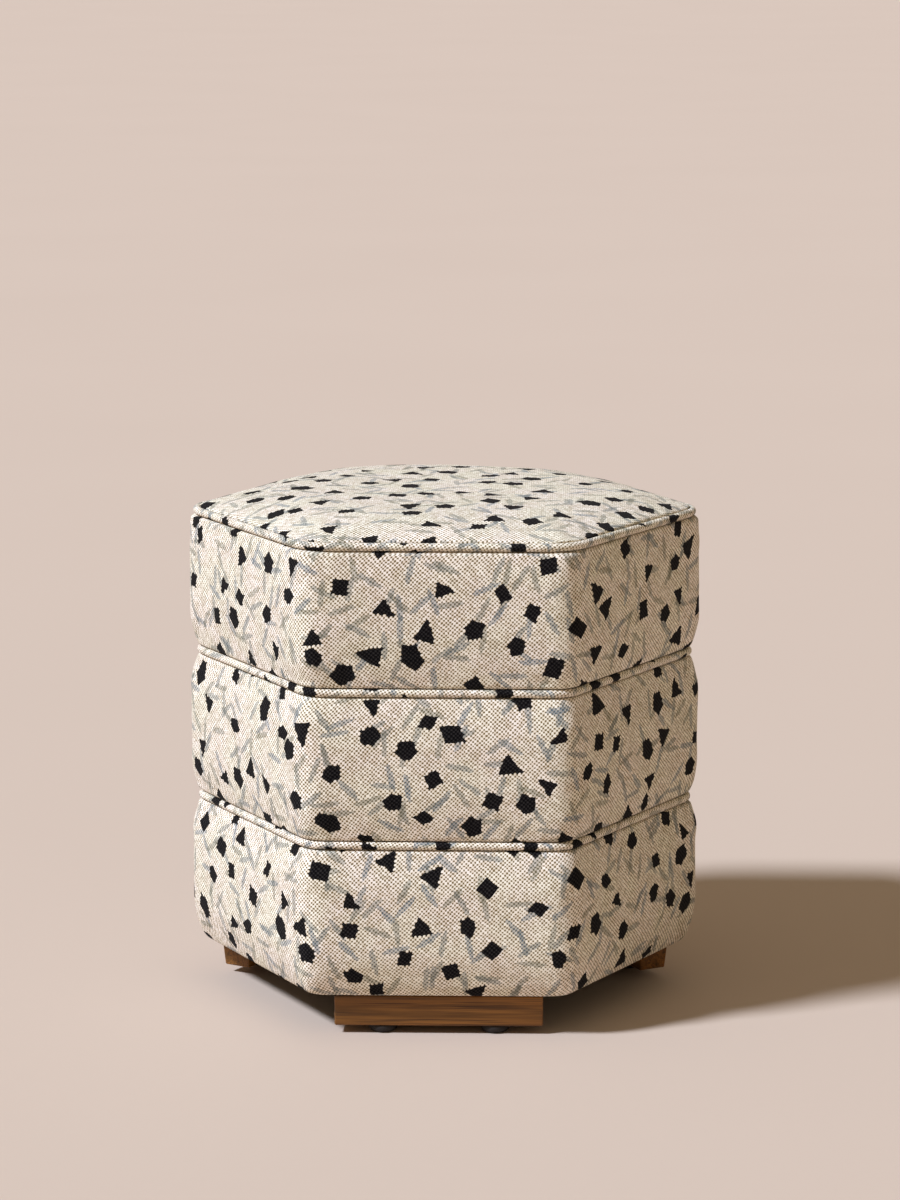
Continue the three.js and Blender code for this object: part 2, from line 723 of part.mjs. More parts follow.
// A foot block with the bolts, tee nuts and glides that belong to it
function footGroup({ name, angle }) {
  const group = new THREE.Group();
  group.rotation.z = angle;
  const block = piece(`foot_${name}`, footBlock(), materials.walnut);
  block.position.set(boltApothem, 0, GLIDE_HEIGHT);
  group.add(block);
  const headSeat = GLIDE_HEIGHT + COUNTERBORE_DEPTH - CLEARANCE;
  for (const [end, side] of [['left', -1], ['right', 1]]) {
    const boltPlace = (side * BOLT_SPACING) / 2;
    const screw = piece(`foot_bolt_${name}_${end}`, bolt(baseTop - headSeat), materials.steel);
    screw.position.set(boltApothem, boltPlace, headSeat - BOLT_HEAD_HEIGHT);
    const nut = piece(`tee_nut_${name}_${end}`, teeNut(), materials.steel);
    nut.position.set(boltApothem, boltPlace, baseTop + CLEARANCE);
    const pad = piece(`glide_${name}_${end}`, glide(), materials.glide);
    pad.position.set(boltApothem - glideInset, (side * GLIDE_SPACING) / 2, 0);
    group.add(screw, nut, pad);
  }
  return group;
}

const tuffet = new THREE.Group();
tuffet.add(baseBoard(), deckBoard(), ...tackRings(), ...cornerPosts(), ...sidePanels());
tuffet.add(...foamBands(), seatFoam(), seatWadding());
tuffet.add(...coverBands(), seatCover(), ...pipings(), dustCover());
tuffet.add(...feetPlaces.map(footGroup));

export default tuffet;
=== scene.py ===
"""A three-tier hexagonal tuffet: patterned upholstery, piped seams and stained hardwood blocks underneath."""

import math

import bpy
import numpy as np
from mathutils import Matrix, Vector, noise


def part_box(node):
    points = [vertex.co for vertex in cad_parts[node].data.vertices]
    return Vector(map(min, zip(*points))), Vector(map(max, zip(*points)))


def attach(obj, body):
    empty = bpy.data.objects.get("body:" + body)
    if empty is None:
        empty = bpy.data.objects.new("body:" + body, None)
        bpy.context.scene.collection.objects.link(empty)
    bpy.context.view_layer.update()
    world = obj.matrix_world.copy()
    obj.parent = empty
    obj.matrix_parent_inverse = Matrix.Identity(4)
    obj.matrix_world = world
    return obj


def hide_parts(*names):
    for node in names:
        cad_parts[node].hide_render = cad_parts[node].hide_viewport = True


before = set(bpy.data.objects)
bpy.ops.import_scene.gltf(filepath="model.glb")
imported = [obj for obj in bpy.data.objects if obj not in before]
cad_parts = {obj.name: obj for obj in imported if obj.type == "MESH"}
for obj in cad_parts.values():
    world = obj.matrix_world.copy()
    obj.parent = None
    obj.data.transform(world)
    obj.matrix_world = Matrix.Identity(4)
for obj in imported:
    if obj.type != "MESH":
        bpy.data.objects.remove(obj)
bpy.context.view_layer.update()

MM = 0.001
TINY = 1e-9

# The camera stands in front and a little above, with a long lens. Places are in metres.
CAMERA_PLACE = (0.0979, -3.5446, 1.0162)
CAMERA_AIM = (-0.0257, 0.9826, -0.1841)
CAMERA_LENS = 120
CAMERA_SENSOR = 36

# One broad sun from the left and a weaker warm light from all round. The room behind the floor is seen in the
# lit floor's tone.
SUN_DIRECTION = (-0.600, -0.335, 0.726)
SUN_STRENGTH = 5.3
SUN_COLOUR = "#dfebff"
SUN_SPREAD_DEGREES = 9
WORLD_STRENGTH = 0.315
WORLD_LIGHT_COLOUR = "#ffebc8"
WORLD_SEEN_COLOUR = "#d9c6ba"
FLOOR_SIZE = 90.0
FLOOR_CLOUD = 770 * MM
FLOOR_COLOURS = ("#c2ae9d", "#c5b1a0")

# The tuffet has six sides. Its tiers and pipings keep the sizes of the pieces that they stand for.
SIDES = 6
SIDE_ANGLE = 2 * math.pi / SIDES
FRONT = math.radians(-90)
JOIN_SIDE = 3
CORNER_RADIUS = 20 * MM
SEAM_CORNER_RADIUS = 24 * MM
SEAT_CORNER_RADIUS = 38 * MM
BASE_CORNER_RADIUS = 12 * MM
INNER_CORNER_RADIUS = 1.2 * MM
CLOTH_GAP = 0.5 * MM
CLEARANCE = 0.3 * MM

# Beside a seam the cloth folds round the piping, stands up in a small roll and swells out over a shoulder.
FOLD_HALF = 1.65 * MM
FOLD_START_ANGLE = math.radians(157)
FOLD_END_ANGLE = math.radians(135)
FOLD_TOP_ANGLE = math.radians(100)
FOLD_ROLL_OUT = 3.6 * MM
FOLD_ROLL_UP = 3.4 * MM
FOLD_ROLL_TURN = math.radians(76)
SHOULDER_HEIGHT = 34 * MM
SHOULDER_EASE = 1.25

# Behind the seams: the flange that the piping is sewn in by, and where the rows of the inner wall lie.
FLANGE_WIDTH = 2.2 * MM
WALL_SHARES = (0.33, 0.67)

# The bottom edge rolls under, and its hem is turned in under the base.
ROLL_DEPTH = 14 * MM
ROLL_HEIGHT = 50 * MM
HEM_INSET = 26.5 * MM

# The seat's crown is flat in the middle and steep at its edge, where its grid is gathered.
CROWN_FLATNESS = 4
CROWN_STEPS = 200
SEAT_GATHERING = 1.6
SEAT_HELD_EDGE = 1.5 * MM

# The cloth grid: its columns run up the tier and its rows run round it.
FLAT_COLUMNS = 46
CORNER_COLUMNS = 5
FOLD_ROWS = 4
FOLD_ROLL_ROWS = 3
SHOULDER_ROWS = 8
ROLL_ROWS = 9
ROW_HEIGHT = 5 * MM
PIPING_ROWS = 14
SEAT_CUTS = 47
RING_DROP = 0.1
MERGE_DISTANCE = 0.01 * MM

# Where each piece is cut from the roll, in metres of cloth. The piping is cut on the bias.
TOP_CUT = (0.11, 0.05)
MIDDLE_CUT = (0.53, 0.42)
BOTTOM_CUT = (1.07, 0.83)
SEAT_CUT = (0.31, 0.17)
SEAT_PIPING_CUT = (2.3, 0.4)
UPPER_PIPING_CUT = (4.1, 0.9)
LOWER_PIPING_CUT = (6.2, 1.3)
PIPING_BIAS = math.radians(80)

# How the padded pieces settle. The hand-made wobble of each piece starts from its own seed.
CLOTH_FRAMES = 20
CLOTH_PRESSURE = 4.0
CLOTH_STIFFNESS = 1.5
SPARE_CLOTH_SHARE = 0.45
TIER_MOVEMENT = 1.2 * MM
SEAT_MOVEMENT = 1.2 * MM
TOP_SEED, MIDDLE_SEED, BOTTOM_SEED, SEAT_SEED = 1.0, 2.0, 3.0, 4.0
SEED_SHARES = (1.0, 0.37, 0.71)
HAND_UNEVENNESS = 0.35 * MM
UNEVENNESS_WIDTH = 34 * MM
PIPING_UNEVENNESS = 0.18 * MM
PIPING_UNEVENNESS_WIDTH = 26 * MM
PUCKER_REACH = 9 * MM
PUCKER_WIDTH = 13 * MM
PUCKER_LENGTH = 60 * MM
PUCKER_DEPTH = 2.4 * MM
PUCKER_AT_MIDDLE = 0.35
PUCKER_SLANT = 0.8

# The hardwood blocks and their bolt holes. Each block's grain is taken from another place of the plank.
FOOT_TAPER = 4 * MM
FOOT_EASE = 1.5 * MM
FOOT_EASE_STEPS = 3
COUNTERBORE_DIAMETER = 13 * MM
COUNTERBORE_DEPTH = 10 * MM
BOLT_HOLE_DIAMETER = 6.6 * MM
DRILL_SPARE = 5 * MM
BLOCK_TURNS = {"front": 0, "back_right": 1, "back_left": 2}
PLANK_STEP = (0.7, 0.05, 0.03)
ROUND_STEPS = 40
SMOOTH_ANGLE = math.radians(40)

# A glide's outline in shares of its radius and of a height: the rim's up to the rim, and then the head's.
GLIDE_RIM_HEIGHT = 3.6 * MM
GLIDE_RIM = ((0.64, 0.0), (0.86, 0.3), (0.97, 0.7), (1.0, 1.0))
GLIDE_BACK = ((0.985, 0.75), (0.94, 0.95), (0.88, 1.0))
GLIDE_GAP = 0.02 * MM
NAIL_RADIUS = 1.2 * MM
NAIL_POINT = 2 * MM
NAIL_TIP_SHARE = 0.1

# The cloth in millimetres. Its ribs fall to the right and its floats cross them. The real threads are finer
# and are drawn at this spacing so that they show.
RIB_ACROSS = 4.4
FLOAT_ACROSS = 3.3
THREAD_UP = 3.7
THREAD_WANDER = 1.6
WANDER_SPACING = 6
PATCH_SIZE = 38
STEPPING = 0.6
STITCH_DEPTH = 0.09
SLUB_DEPTH = 0.06
GROOVE_HEIGHT = 0.09
RIB_HEIGHT = 0.49
CREAM_YARNS = ("#fcf0e3", "#faf1dd")
ECRU_YARNS = ("#eddcc8", "#e9ddc6")
# Painted shade: the grooves between the ribs are coloured this dark tone where the yarn lies low.
GROOVE_PAINTED_SHADE = "#77643f"

# Motifs are strewn in layers. Each has a turn and a shift along in cells, and shifts up by a share of that.
SECOND_SHIFT_SHARE = 0.61

# Dark chips of three to five sides. One with fewer sides is drawn smaller, and sharp corners are nipped off.
CHIP_COLOURS = ("#080608", "#6f6a66")
CHIP_CELL = 42.0
CHIP_LAYER = (0.4, 3.7)
CHIP_SCATTER = 0.7
CHIP_SIDES = (3.0, 5.0)
CHIP_REACH = 8.0
CHIP_LEAST_REACH = 6.0
CHIP_NIP = 10.4
CHIP_NARROW = 0.72
CHIP_WIDE = 1.5
CHIP_TURN = 9.0

# Grey dashes in three layers, stronger in the grooves than on the ribs.
DASH_COLOURS = ("#566671", "#6d6850")
DASH_CELL = 37.0
DASH_LAYERS = ((0.15, 11.3), (0.95, 27.9), (1.9, 41.7))
DASH_SCATTER = 0.6
DASH_HALF_LENGTH = 13.0
DASH_HALF_WIDTH = 2.5
DASH_BLUNTNESS = 4.0
DASH_IN_GROOVE = 0.86
DASH_ON_RIB = 0.44

# Lengths and widths of the figure in the boards and blocks, and the grain of the other finishes.
WOOD_STREAK = (167 * MM, 6.25 * MM)
WOOD_PORE = (71.4 * MM, 1.43 * MM)
PLYWOOD_FIGURE = (83.3 * MM, 6.25 * MM)
PLY_THICKNESS = 1.5 * MM
HARDBOARD_FIBRE = 2 * MM
ZINC_CLOUD = 3.33 * MM
NYLON_GRAIN = 0.556 * MM
DUST_FIBRE = 1.11 * MM
WELD_SPACING = 1.82 * MM

# The dust cover sags a little between the blocks.
DUST_COVER_THICKNESS = 0.4 * MM
DUST_COVER_SAG = 2.5 * MM
DUST_COVER_RIM = 8 * MM
DUST_COVER_CUTS = 24


def only(piece):
    """Selects one piece alone and makes it active."""
    bpy.ops.object.select_all(action="DESELECT")
    piece.select_set(True)
    bpy.context.view_layer.objects.active = piece


def named(name):
    """The piece just added, under its own name."""
    piece = bpy.context.active_object
    piece.name = name
    piece.data.name = name
    return piece


def apply_modifier(piece, name, kind, **settings):
    """Adds one modifier to a piece and applies it."""
    modifier = piece.modifiers.new(name, kind)
    for key, value in settings.items():
        setattr(modifier, key, value)
    only(piece)
    bpy.ops.object.modifier_apply(modifier=name)


def open_mesh(piece, action, kind=None):
    """Opens a piece in edit mode with its whole mesh picked or none of it."""
    only(piece)
    bpy.ops.object.mode_set(mode="EDIT")
    if kind:
        bpy.ops.mesh.select_mode(type=kind)
    bpy.ops.mesh.select_all(action=action)


def copied(piece, name):
    """A copy of a piece with its own mesh."""
    copy = piece.copy()
    copy.data = piece.data.copy()
    copy.name = copy.data.name = name
    bpy.context.scene.collection.objects.link(copy)
    return copy


def clean_shell(piece):
    """Merges doubled points and turns every face outwards."""
    open_mesh(piece, "SELECT")
    bpy.ops.mesh.remove_doubles(threshold=MERGE_DISTANCE)
    bpy.ops.mesh.normals_make_consistent(inside=False)
    bpy.ops.object.mode_set(mode="OBJECT")


def coordinates(mesh):
    """The points of a mesh as rows of three numbers."""
    flat = np.empty(len(mesh.vertices) * 3)
    mesh.vertices.foreach_get("co", flat)
    return flat.reshape(-1, 3)


def directions(mesh):
    """The way that the surface faces at each point of a mesh."""
    flat = np.empty(len(mesh.vertices) * 3)
    mesh.vertices.foreach_get("normal", flat)
    return flat.reshape(-1, 3)


# Where things are


def side_facing(side):
    """The angle that a side faces. Side 0 is the front."""
    return side * SIDE_ANGLE + FRONT


def side_axes(side):
    """The way that a side faces and the way along it."""
    facing = side_facing(side)
    normal = Vector((math.cos(facing), math.sin(facing)))
    return normal, Vector((-normal.y, normal.x))


def ring_point(station, apothem, radius):
    """A point of a rounded hexagon. Its station is a side, a share of its flat and a share of its corner."""
    side, along, turned = station
    normal, tangent = side_axes(side)
    half_flat = (apothem - radius) * math.tan(SIDE_ANGLE / 2)
    corner = side_facing(side) + turned * SIDE_ANGLE
    rounding = Vector((math.cos(corner), math.sin(corner)))
    return normal * (apothem - radius) + tangent * along * half_flat + rounding * radius


def stations():
    """The columns of a strip: once round from the join at a back corner, and the first column once more."""
    columns = []
    for side in range(JOIN_SIDE, JOIN_SIDE + SIDES):
        columns += [(side, -1 + 2 * step / FLAT_COLUMNS, 0) for step in range(FLAT_COLUMNS + 1)]
        columns += [(side, 1, step / CORNER_COLUMNS) for step in range(1, CORNER_COLUMNS)]
    return columns + [(JOIN_SIDE, -1, 0)]


def piping_line(name, corner):
    """Apothem, height and radius of one piping, from the piece that it stands for, and its corner radius."""
    low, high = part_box(name)
    radius = (high.z - low.z) / 2
    return high.y - radius, (low.z + high.z) / 2, radius, corner


SEAT_LINE = piping_line("piping_seat", SEAT_CORNER_RADIUS)
UPPER_LINE = piping_line("piping_upper_seam", SEAM_CORNER_RADIUS)
LOWER_LINE = piping_line("piping_lower_seam", SEAM_CORNER_RADIUS)
TIER_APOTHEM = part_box("cover_band_middle")[1].y
COVER_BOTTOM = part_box("cover_band_bottom")[0].z
CROWN_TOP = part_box("seat_cover")[1].z
PANEL_APOTHEM = -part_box("side_panel_front")[0].y
BASE_LOW, BASE_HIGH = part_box("base_board")
DECK_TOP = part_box("deck_board")[1].z
INNER_WALL = PANEL_APOTHEM + CLEARANCE
SEAT_STEM = PANEL_APOTHEM - CLEARANCE
HEM_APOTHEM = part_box("cover_band_bottom")[1].y - HEM_INSET


def hug_point(line, angle, way):
    """A point of the cloth where it hugs the piping, above it (way 1) or below it (way -1)."""
    apothem, height, radius, corner = line
    reach = radius + CLOTH_GAP
    out = reach * math.cos(angle)
    return apothem + out, height + way * reach * math.sin(angle), corner + out


def piped_end(line, way):
    """From the sewn fold behind a piping, round the piping, over a small roll and out over the shoulder."""
    apothem, seam_height, radius, corner = line
    fold_height = seam_height + way * FOLD_HALF
    halfway = (INNER_WALL + apothem - radius) / 2
    points = [(INNER_WALL, fold_height, INNER_CORNER_RADIUS), (halfway, fold_height, corner / 2)]
    for step in range(FOLD_ROWS):
        angle = FOLD_START_ANGLE + (FOLD_TOP_ANGLE - FOLD_START_ANGLE) * step / (FOLD_ROWS - 1)
        points.append(hug_point(line, angle, way))

    def swollen(out, height):
        share = (out - apothem) / (TIER_APOTHEM - apothem)
        return out, height, corner + (CORNER_RADIUS - corner) * min(max(share, 0), 1)

    start, height, _ = points[-1]
    for step in range(1, FOLD_ROLL_ROWS + 1):
        turn = FOLD_ROLL_TURN * step / FOLD_ROLL_ROWS
        rolled = height + way * FOLD_ROLL_UP * (1 - math.cos(turn))
        points.append(swollen(start + FOLD_ROLL_OUT * math.sin(turn), rolled))
    start, height, _ = points[-1]
    rise = seam_height + way * SHOULDER_HEIGHT - height
    for step in range(1, SHOULDER_ROWS + 1):
        share = (step / SHOULDER_ROWS) ** SHOULDER_EASE
        swell = math.sin(share * math.pi / 2)
        points.append(swollen(start + (TIER_APOTHEM - start) * swell, height + rise * share))
    return points


def rolled_end():
    """From inside the hem, under the bottom edge and up round the roll to the full tier."""
    low = COVER_BOTTOM
    over_hem = BASE_LOW.z - CLEARANCE
    board_side = BASE_HIGH.y + CLEARANCE
    board_top = BASE_HIGH.z + CLEARANCE
    points = [
        (INNER_WALL, board_top, INNER_CORNER_RADIUS),
        (board_side, board_top, BASE_CORNER_RADIUS),
        (board_side, over_hem, BASE_CORNER_RADIUS),
        (HEM_APOTHEM, over_hem, BASE_CORNER_RADIUS),
        (HEM_APOTHEM, low, BASE_CORNER_RADIUS),
        ((HEM_APOTHEM + TIER_APOTHEM - ROLL_DEPTH) / 2, low, (BASE_CORNER_RADIUS + CORNER_RADIUS) / 2),
    ]
    for step in range(ROLL_ROWS + 1):
        angle = math.pi / 2 * step / ROLL_ROWS
        across = TIER_APOTHEM - ROLL_DEPTH * (1 - math.sin(angle))
        points.append((across, low + ROLL_HEIGHT * (1 - math.cos(angle)), CORNER_RADIUS))
    return points


def tier_section(lower, upper):
    """The closed outline of one tier's padding, cut through a side: out, up, in and down the inner wall."""
    start, stop = lower[-1][1], upper[-1][1]
    rows = max(2, round((stop - start) / ROW_HEIGHT))
    flat = [(TIER_APOTHEM, start + (stop - start) * row / rows, CORNER_RADIUS) for row in range(1, rows)]
    section = lower + flat + upper[::-1]
    top, bottom = section[-1][1], section[0][1]
    wall = [(INNER_WALL, top + (bottom - top) * share, INNER_CORNER_RADIUS) for share in WALL_SHARES]
    return section + wall + [section[0]]


def piping_section(line):
    """The closed outline of a piping: the flange that is sewn into the seam and the cloth round the cord."""
    apothem, height, radius, corner = line
    half = FOLD_HALF - CLEARANCE
    spread = math.asin(half / radius)
    inner = apothem - radius - FLANGE_WIDTH
    inner_corner = corner - radius - FLANGE_WIDTH
    points = [(inner, height, inner_corner), (inner, height + half, inner_corner)]
    for step in range(PIPING_ROWS + 1):
        angle = math.pi - spread - (2 * math.pi - 2 * spread) * step / PIPING_ROWS
        out = radius * math.cos(angle)
        points.append((apothem + out, height + radius * math.sin(angle), corner + out))
    return points + [(inner, height - half, inner_corner), (inner, height, inner_corner)]


# Cloth pieces


def wrapped_strip(name, section, bias=0.0, shift=(0.0, 0.0)):
    """A strip of cloth that follows a closed section round the six sides. Its map holds lengths in metres."""
    columns = stations()
    bpy.ops.object.select_all(action="DESELECT")
    bpy.ops.mesh.primitive_grid_add(x_subdivisions=len(columns) - 1, y_subdivisions=len(section) - 1, size=1)
    strip = named(name)
    run = [0.0]
    for (apothem, height, _), (next_apothem, next_height, _) in zip(section, section[1:]):
        run.append(run[-1] + math.hypot(next_apothem - apothem, next_height - height))
    full_girth = girth(columns, TIER_APOTHEM, CORNER_RADIUS)[-1]
    around = []
    for apothem, _, corner in section:
        lengths = girth(columns, apothem, corner)
        around.append([length * full_girth / lengths[-1] for length in lengths])
    rows = strip.data.attributes.new("row", "INT", "POINT")
    wide = len(columns)
    for index, vertex in enumerate(strip.data.vertices):
        row, column = divmod(index, wide)
        apothem, height, corner = section[row]
        place = ring_point(columns[column], apothem, corner)
        vertex.co = (place.x, place.y, height)
        rows.data[index].value = row % (len(section) - 1)
    cloth_map = strip.data.uv_layers[0]
    cloth_map.name = "cloth"
    cosine, sine = math.cos(bias), math.sin(bias)
    for loop in strip.data.loops:
        row, column = divmod(loop.vertex_index, wide)
        u, v = around[row][column] + shift[0], run[row] + shift[1]
        cloth_map.data[loop.index].uv = (u * cosine - v * sine, u * sine + v * cosine)
    clean_shell(strip)
    return strip


def girth(columns, apothem, corner):
    """How far round the hexagon each column lies at this apothem and corner radius."""
    places = [ring_point(column, apothem, corner) for column in columns]
    lengths = [0.0]
    for here, there in zip(places, places[1:]):
        lengths.append(lengths[-1] + (there - here).length)
    return lengths


def unevenness(place, width, seed):
    """A smooth hand-made wobble between -1 and 1 that is the same every time."""
    return noise.noise(Vector(place) / width + Vector([seed * share for share in SEED_SHARES]))


def settle(pad, held, rest, most, seed):
    """The cloth of a pad swells over its foam. Held points stay, and no point moves further than most."""
    sewn, normals = coordinates(pad.data), directions(pad.data)
    wobble = np.array([unevenness(place, UNEVENNESS_WIDTH, seed) for place in sewn])
    start = sewn + normals * (wobble * HAND_UNEVENNESS * ~held)[:, None]
    pad.data.vertices.foreach_set("co", start.ravel())
    group = pad.vertex_groups.new(name="held")
    group.add([int(index) for index in np.flatnonzero(held)], 1.0, "REPLACE")
    pad.shape_key_add(name="sewn")
    cut = pad.shape_key_add(name="cut")
    cut.data.foreach_set("co", rest.ravel())
    cloth = pad.modifiers.new("cloth", "CLOTH")
    cloth.settings.rest_shape_key = cut
    cloth.settings.vertex_group_mass = group.name
    cloth.settings.use_pressure = True
    cloth.settings.uniform_pressure_force = CLOTH_PRESSURE
    cloth.settings.effector_weights.gravity = 0
    cloth.settings.bending_stiffness = CLOTH_STIFFNESS
    cloth.collision_settings.use_collision = False
    cloth.point_cache.frame_start = 1
    cloth.point_cache.frame_end = CLOTH_FRAMES
    for frame_number in range(1, CLOTH_FRAMES + 1):
        bpy.context.scene.frame_set(frame_number)
    settled = coordinates(pad.evaluated_get(bpy.context.evaluated_depsgraph_get()).data)
    pad.modifiers.remove(cloth)
    pad.shape_key_clear()
    pad.vertex_groups.clear()
    moved = settled - sewn
    length = np.linalg.norm(moved, axis=1)
    limit = np.minimum(1, most / np.maximum(length, TINY))
    pad.data.vertices.foreach_set("co", (sewn + moved * limit[:, None]).ravel())
    bpy.context.scene.frame_set(1)


def cut_section(section, first, last):
    """The section as the cloth was cut, before it was drawn in: wider at its ends and just as long."""
    middle = (first + last) // 2
    cut = [(apothem, height) for apothem, height, _ in section]
    for way in (1, -1):
        row = middle
        while first - 1 <= row + way <= last + 1:
            (before, below, _), (here, above, _) = section[row], section[row + way]
            wide = here + SPARE_CLOTH_SHARE * (TIER_APOTHEM - here)
            run = math.hypot(here - before, above - below)
            rise = math.sqrt(max(run ** 2 - (wide - cut[row][0]) ** 2, 0))
            cut[row + way] = (wide, cut[row][1] + way * rise)
            row += way
    return cut


def pucker(place, seams, seed):
    """How far the cloth rises or sinks: small slanting folds beside a seam, deepest at the corners."""
    away = min(abs(place[2] - seam) for seam in seams) / PUCKER_REACH
    turned = (math.atan2(place[1], place[0]) + math.pi / 2 + SIDE_ANGLE / 2) % SIDE_ANGLE
    from_middle = turned / (SIDE_ANGLE / 2) - 1
    around = Vector((-place[1], place[0], 0)).normalized()
    slanted = Vector(place) + around * place[2] * PUCKER_SLANT
    slanted.z *= PUCKER_WIDTH / PUCKER_LENGTH
    to_corner = PUCKER_AT_MIDDLE + (1 - PUCKER_AT_MIDDLE) * from_middle ** 2
    depth = PUCKER_DEPTH * away * math.exp(1 - away) * to_corner
    return depth * unevenness(slanted, PUCKER_WIDTH, seed)


def tier_pad(name, lower, upper, nodes, cut, seed):
    """One tier: the cover band and the foam behind it, sewn in at its ends."""
    section = tier_section(lower, upper)
    pad = wrapped_strip(name, section, shift=cut)
    rows = np.empty(len(pad.data.vertices), int)
    pad.data.attributes["row"].data.foreach_get("value", rows)
    first = len(lower) - SHOULDER_ROWS
    last = len(section) - len(WALL_SHARES) - 1 - (len(upper) - SHOULDER_ROWS)
    held = (rows < first) | (rows > last)
    seams = (LOWER_LINE[1], UPPER_LINE[1], SEAT_LINE[1])
    sewn, normals = coordinates(pad.data), directions(pad.data)
    for index in np.flatnonzero(~held):
        sewn[index] += normals[index] * pucker(sewn[index], seams, seed)
    pad.data.vertices.foreach_set("co", sewn.ravel())
    flat = np.array(cut_section(section, first, last))
    rest = sewn.copy()
    rest[:, :2] *= (flat[rows, 0] / np.array(section)[rows, 0])[:, None]
    rest[:, 2] = flat[rows, 1]
    settle(pad, held, rest, TIER_MOVEMENT, seed)
    finish_pad(pad, nodes)
    return pad


def hexagon_reach(places):
    """How far out each place lies, measured square to the side that it belongs to."""
    angles = [side_facing(side) for side in range(SIDES)]
    reaches = [places[:, 0] * math.cos(angle) + places[:, 1] * math.sin(angle) for angle in angles]
    return np.max(reaches, axis=0)


def finish_pad(pad, nodes):
    """Smooths a settled pad and lets it stand for its solids."""
    apply_modifier(pad, "fine", "SUBSURF", levels=1, render_levels=1)
    pad.data.shade_smooth()
    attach(pad, "root")
    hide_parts(*nodes)


def crown_height(place, apothem, edge, rise):
    """Height of the crowned seat over a place: full in the middle, steep at the edge."""
    left = 1.0
    for side in range(SIDES // 2):
        angle = side_facing(side)
        reach = abs(place[0] * math.cos(angle) + place[1] * math.sin(angle)) / apothem
        left *= max(0.0, 1 - reach ** CROWN_FLATNESS)
    return edge + rise * math.sqrt(left)


def hexagon_station(place):
    """The side that a place of the unit hexagon lies towards, its share across that side and its reach."""
    best = None
    for side in range(SIDES):
        normal, tangent = side_axes(side)
        reach = place.dot(normal)
        if best is None or reach > best[0] + TINY:
            best = (reach, side, tangent)
    reach, side, tangent = best
    if reach < TINY:
        return side, 0.0, 0.0
    return side, place.dot(tangent) / reach / math.tan(SIDE_ANGLE / 2), reach


def outline_place(side, across, apothem, radius):
    """A point of the rounded outline straight out from the centre at a share across one side."""
    normal, tangent = side_axes(side)
    half_flat = (apothem - radius) * math.tan(SIDE_ANGLE / 2)
    ray = normal + tangent * across * math.tan(SIDE_ANGLE / 2)
    at_side = ray * apothem
    offset = at_side.dot(tangent)
    if abs(offset) <= half_flat:
        return at_side
    centre = normal * (apothem - radius) + tangent * math.copysign(half_flat, offset)
    ray = ray.normalized()
    along = ray.dot(centre)
    return ray * (along + math.sqrt(along ** 2 - centre.length_squared + radius ** 2))


def seat_pad(seed):
    """The crowned seat: cover, wadding and foam as one padded piece whose edge is sewn in over the piping."""
    edge_apothem, edge_height, edge_corner = hug_point(SEAT_LINE, FOLD_END_ANGLE, 1)
    rise = CROWN_TOP - SEAT_MOVEMENT - edge_height
    pad = flat_hexagon("seat_upholstery", 1.0, 0.0, SEAT_CUTS)
    bpy.ops.mesh.region_to_loop()
    rings = seat_edge_rings()
    for _ in rings:
        bpy.ops.mesh.extrude_region_move(TRANSFORM_OT_translate={"value": (0, 0, -RING_DROP)})
    bpy.ops.object.mode_set(mode="OBJECT")
    lengths = crown_lengths(edge_apothem, edge_height, rise)
    flat_places = []
    for vertex in pad.data.vertices:
        side, across, reach = hexagon_station(vertex.co.xy)
        ring = round(-vertex.co.z / RING_DROP)
        share = 1 - (1 - min(reach, 1.0)) ** SEAT_GATHERING if ring == 0 else 1.0
        apothem, height, corner = (edge_apothem, edge_height, edge_corner) if ring == 0 else rings[ring - 1]
        place = outline_place(side, across, apothem, corner) * share
        if ring == 0:
            height = crown_height(place, edge_apothem, edge_height, rise) if share < 1 else edge_height
        direction = place.normalized() if place.length > MM else Vector((0, 0))
        out = place.length * (1 + lengths(share)) + (edge_height - height if ring else 0)
        flat_places.append(direction * out)
        vertex.co = (place.x, place.y, height)
    cloth_map = pad.data.uv_layers.new(name="cloth")
    for loop in pad.data.loops:
        cloth_map.data[loop.index].uv = flat_places[loop.vertex_index] + Vector(SEAT_CUT)
    clean_shell(pad)
    sewn = coordinates(pad.data)
    held = (hexagon_reach(sewn) > edge_apothem - SEAT_HELD_EDGE) | (sewn[:, 2] < edge_height)
    settle(pad, held, sewn, SEAT_MOVEMENT, seed)
    finish_pad(pad, ("seat_cover", "seat_wadding", "seat_foam"))
    open_mesh(pad, "DESELECT", "EDGE")
    bpy.ops.mesh.select_non_manifold()
    bpy.ops.mesh.edge_face_add()
    bpy.ops.object.mode_set(mode="OBJECT")
    return pad


def flat_hexagon(name, apothem, height, cuts):
    """A flat hexagon divided into even four-sided patches, left open in edit mode with all of it picked."""
    bpy.ops.object.select_all(action="DESELECT")
    bpy.ops.mesh.primitive_circle_add(
        vertices=SIDES, radius=apothem / math.cos(SIDE_ANGLE / 2), fill_type="TRIFAN",
        location=(0, 0, height), rotation=(0, 0, SIDE_ANGLE / 2),
    )
    hexagon = named(name)
    bpy.ops.object.transform_apply(location=True, rotation=True, scale=True)
    split_in_rhombi(hexagon)
    open_mesh(hexagon, "SELECT")
    bpy.ops.mesh.subdivide(number_cuts=cuts)
    return hexagon


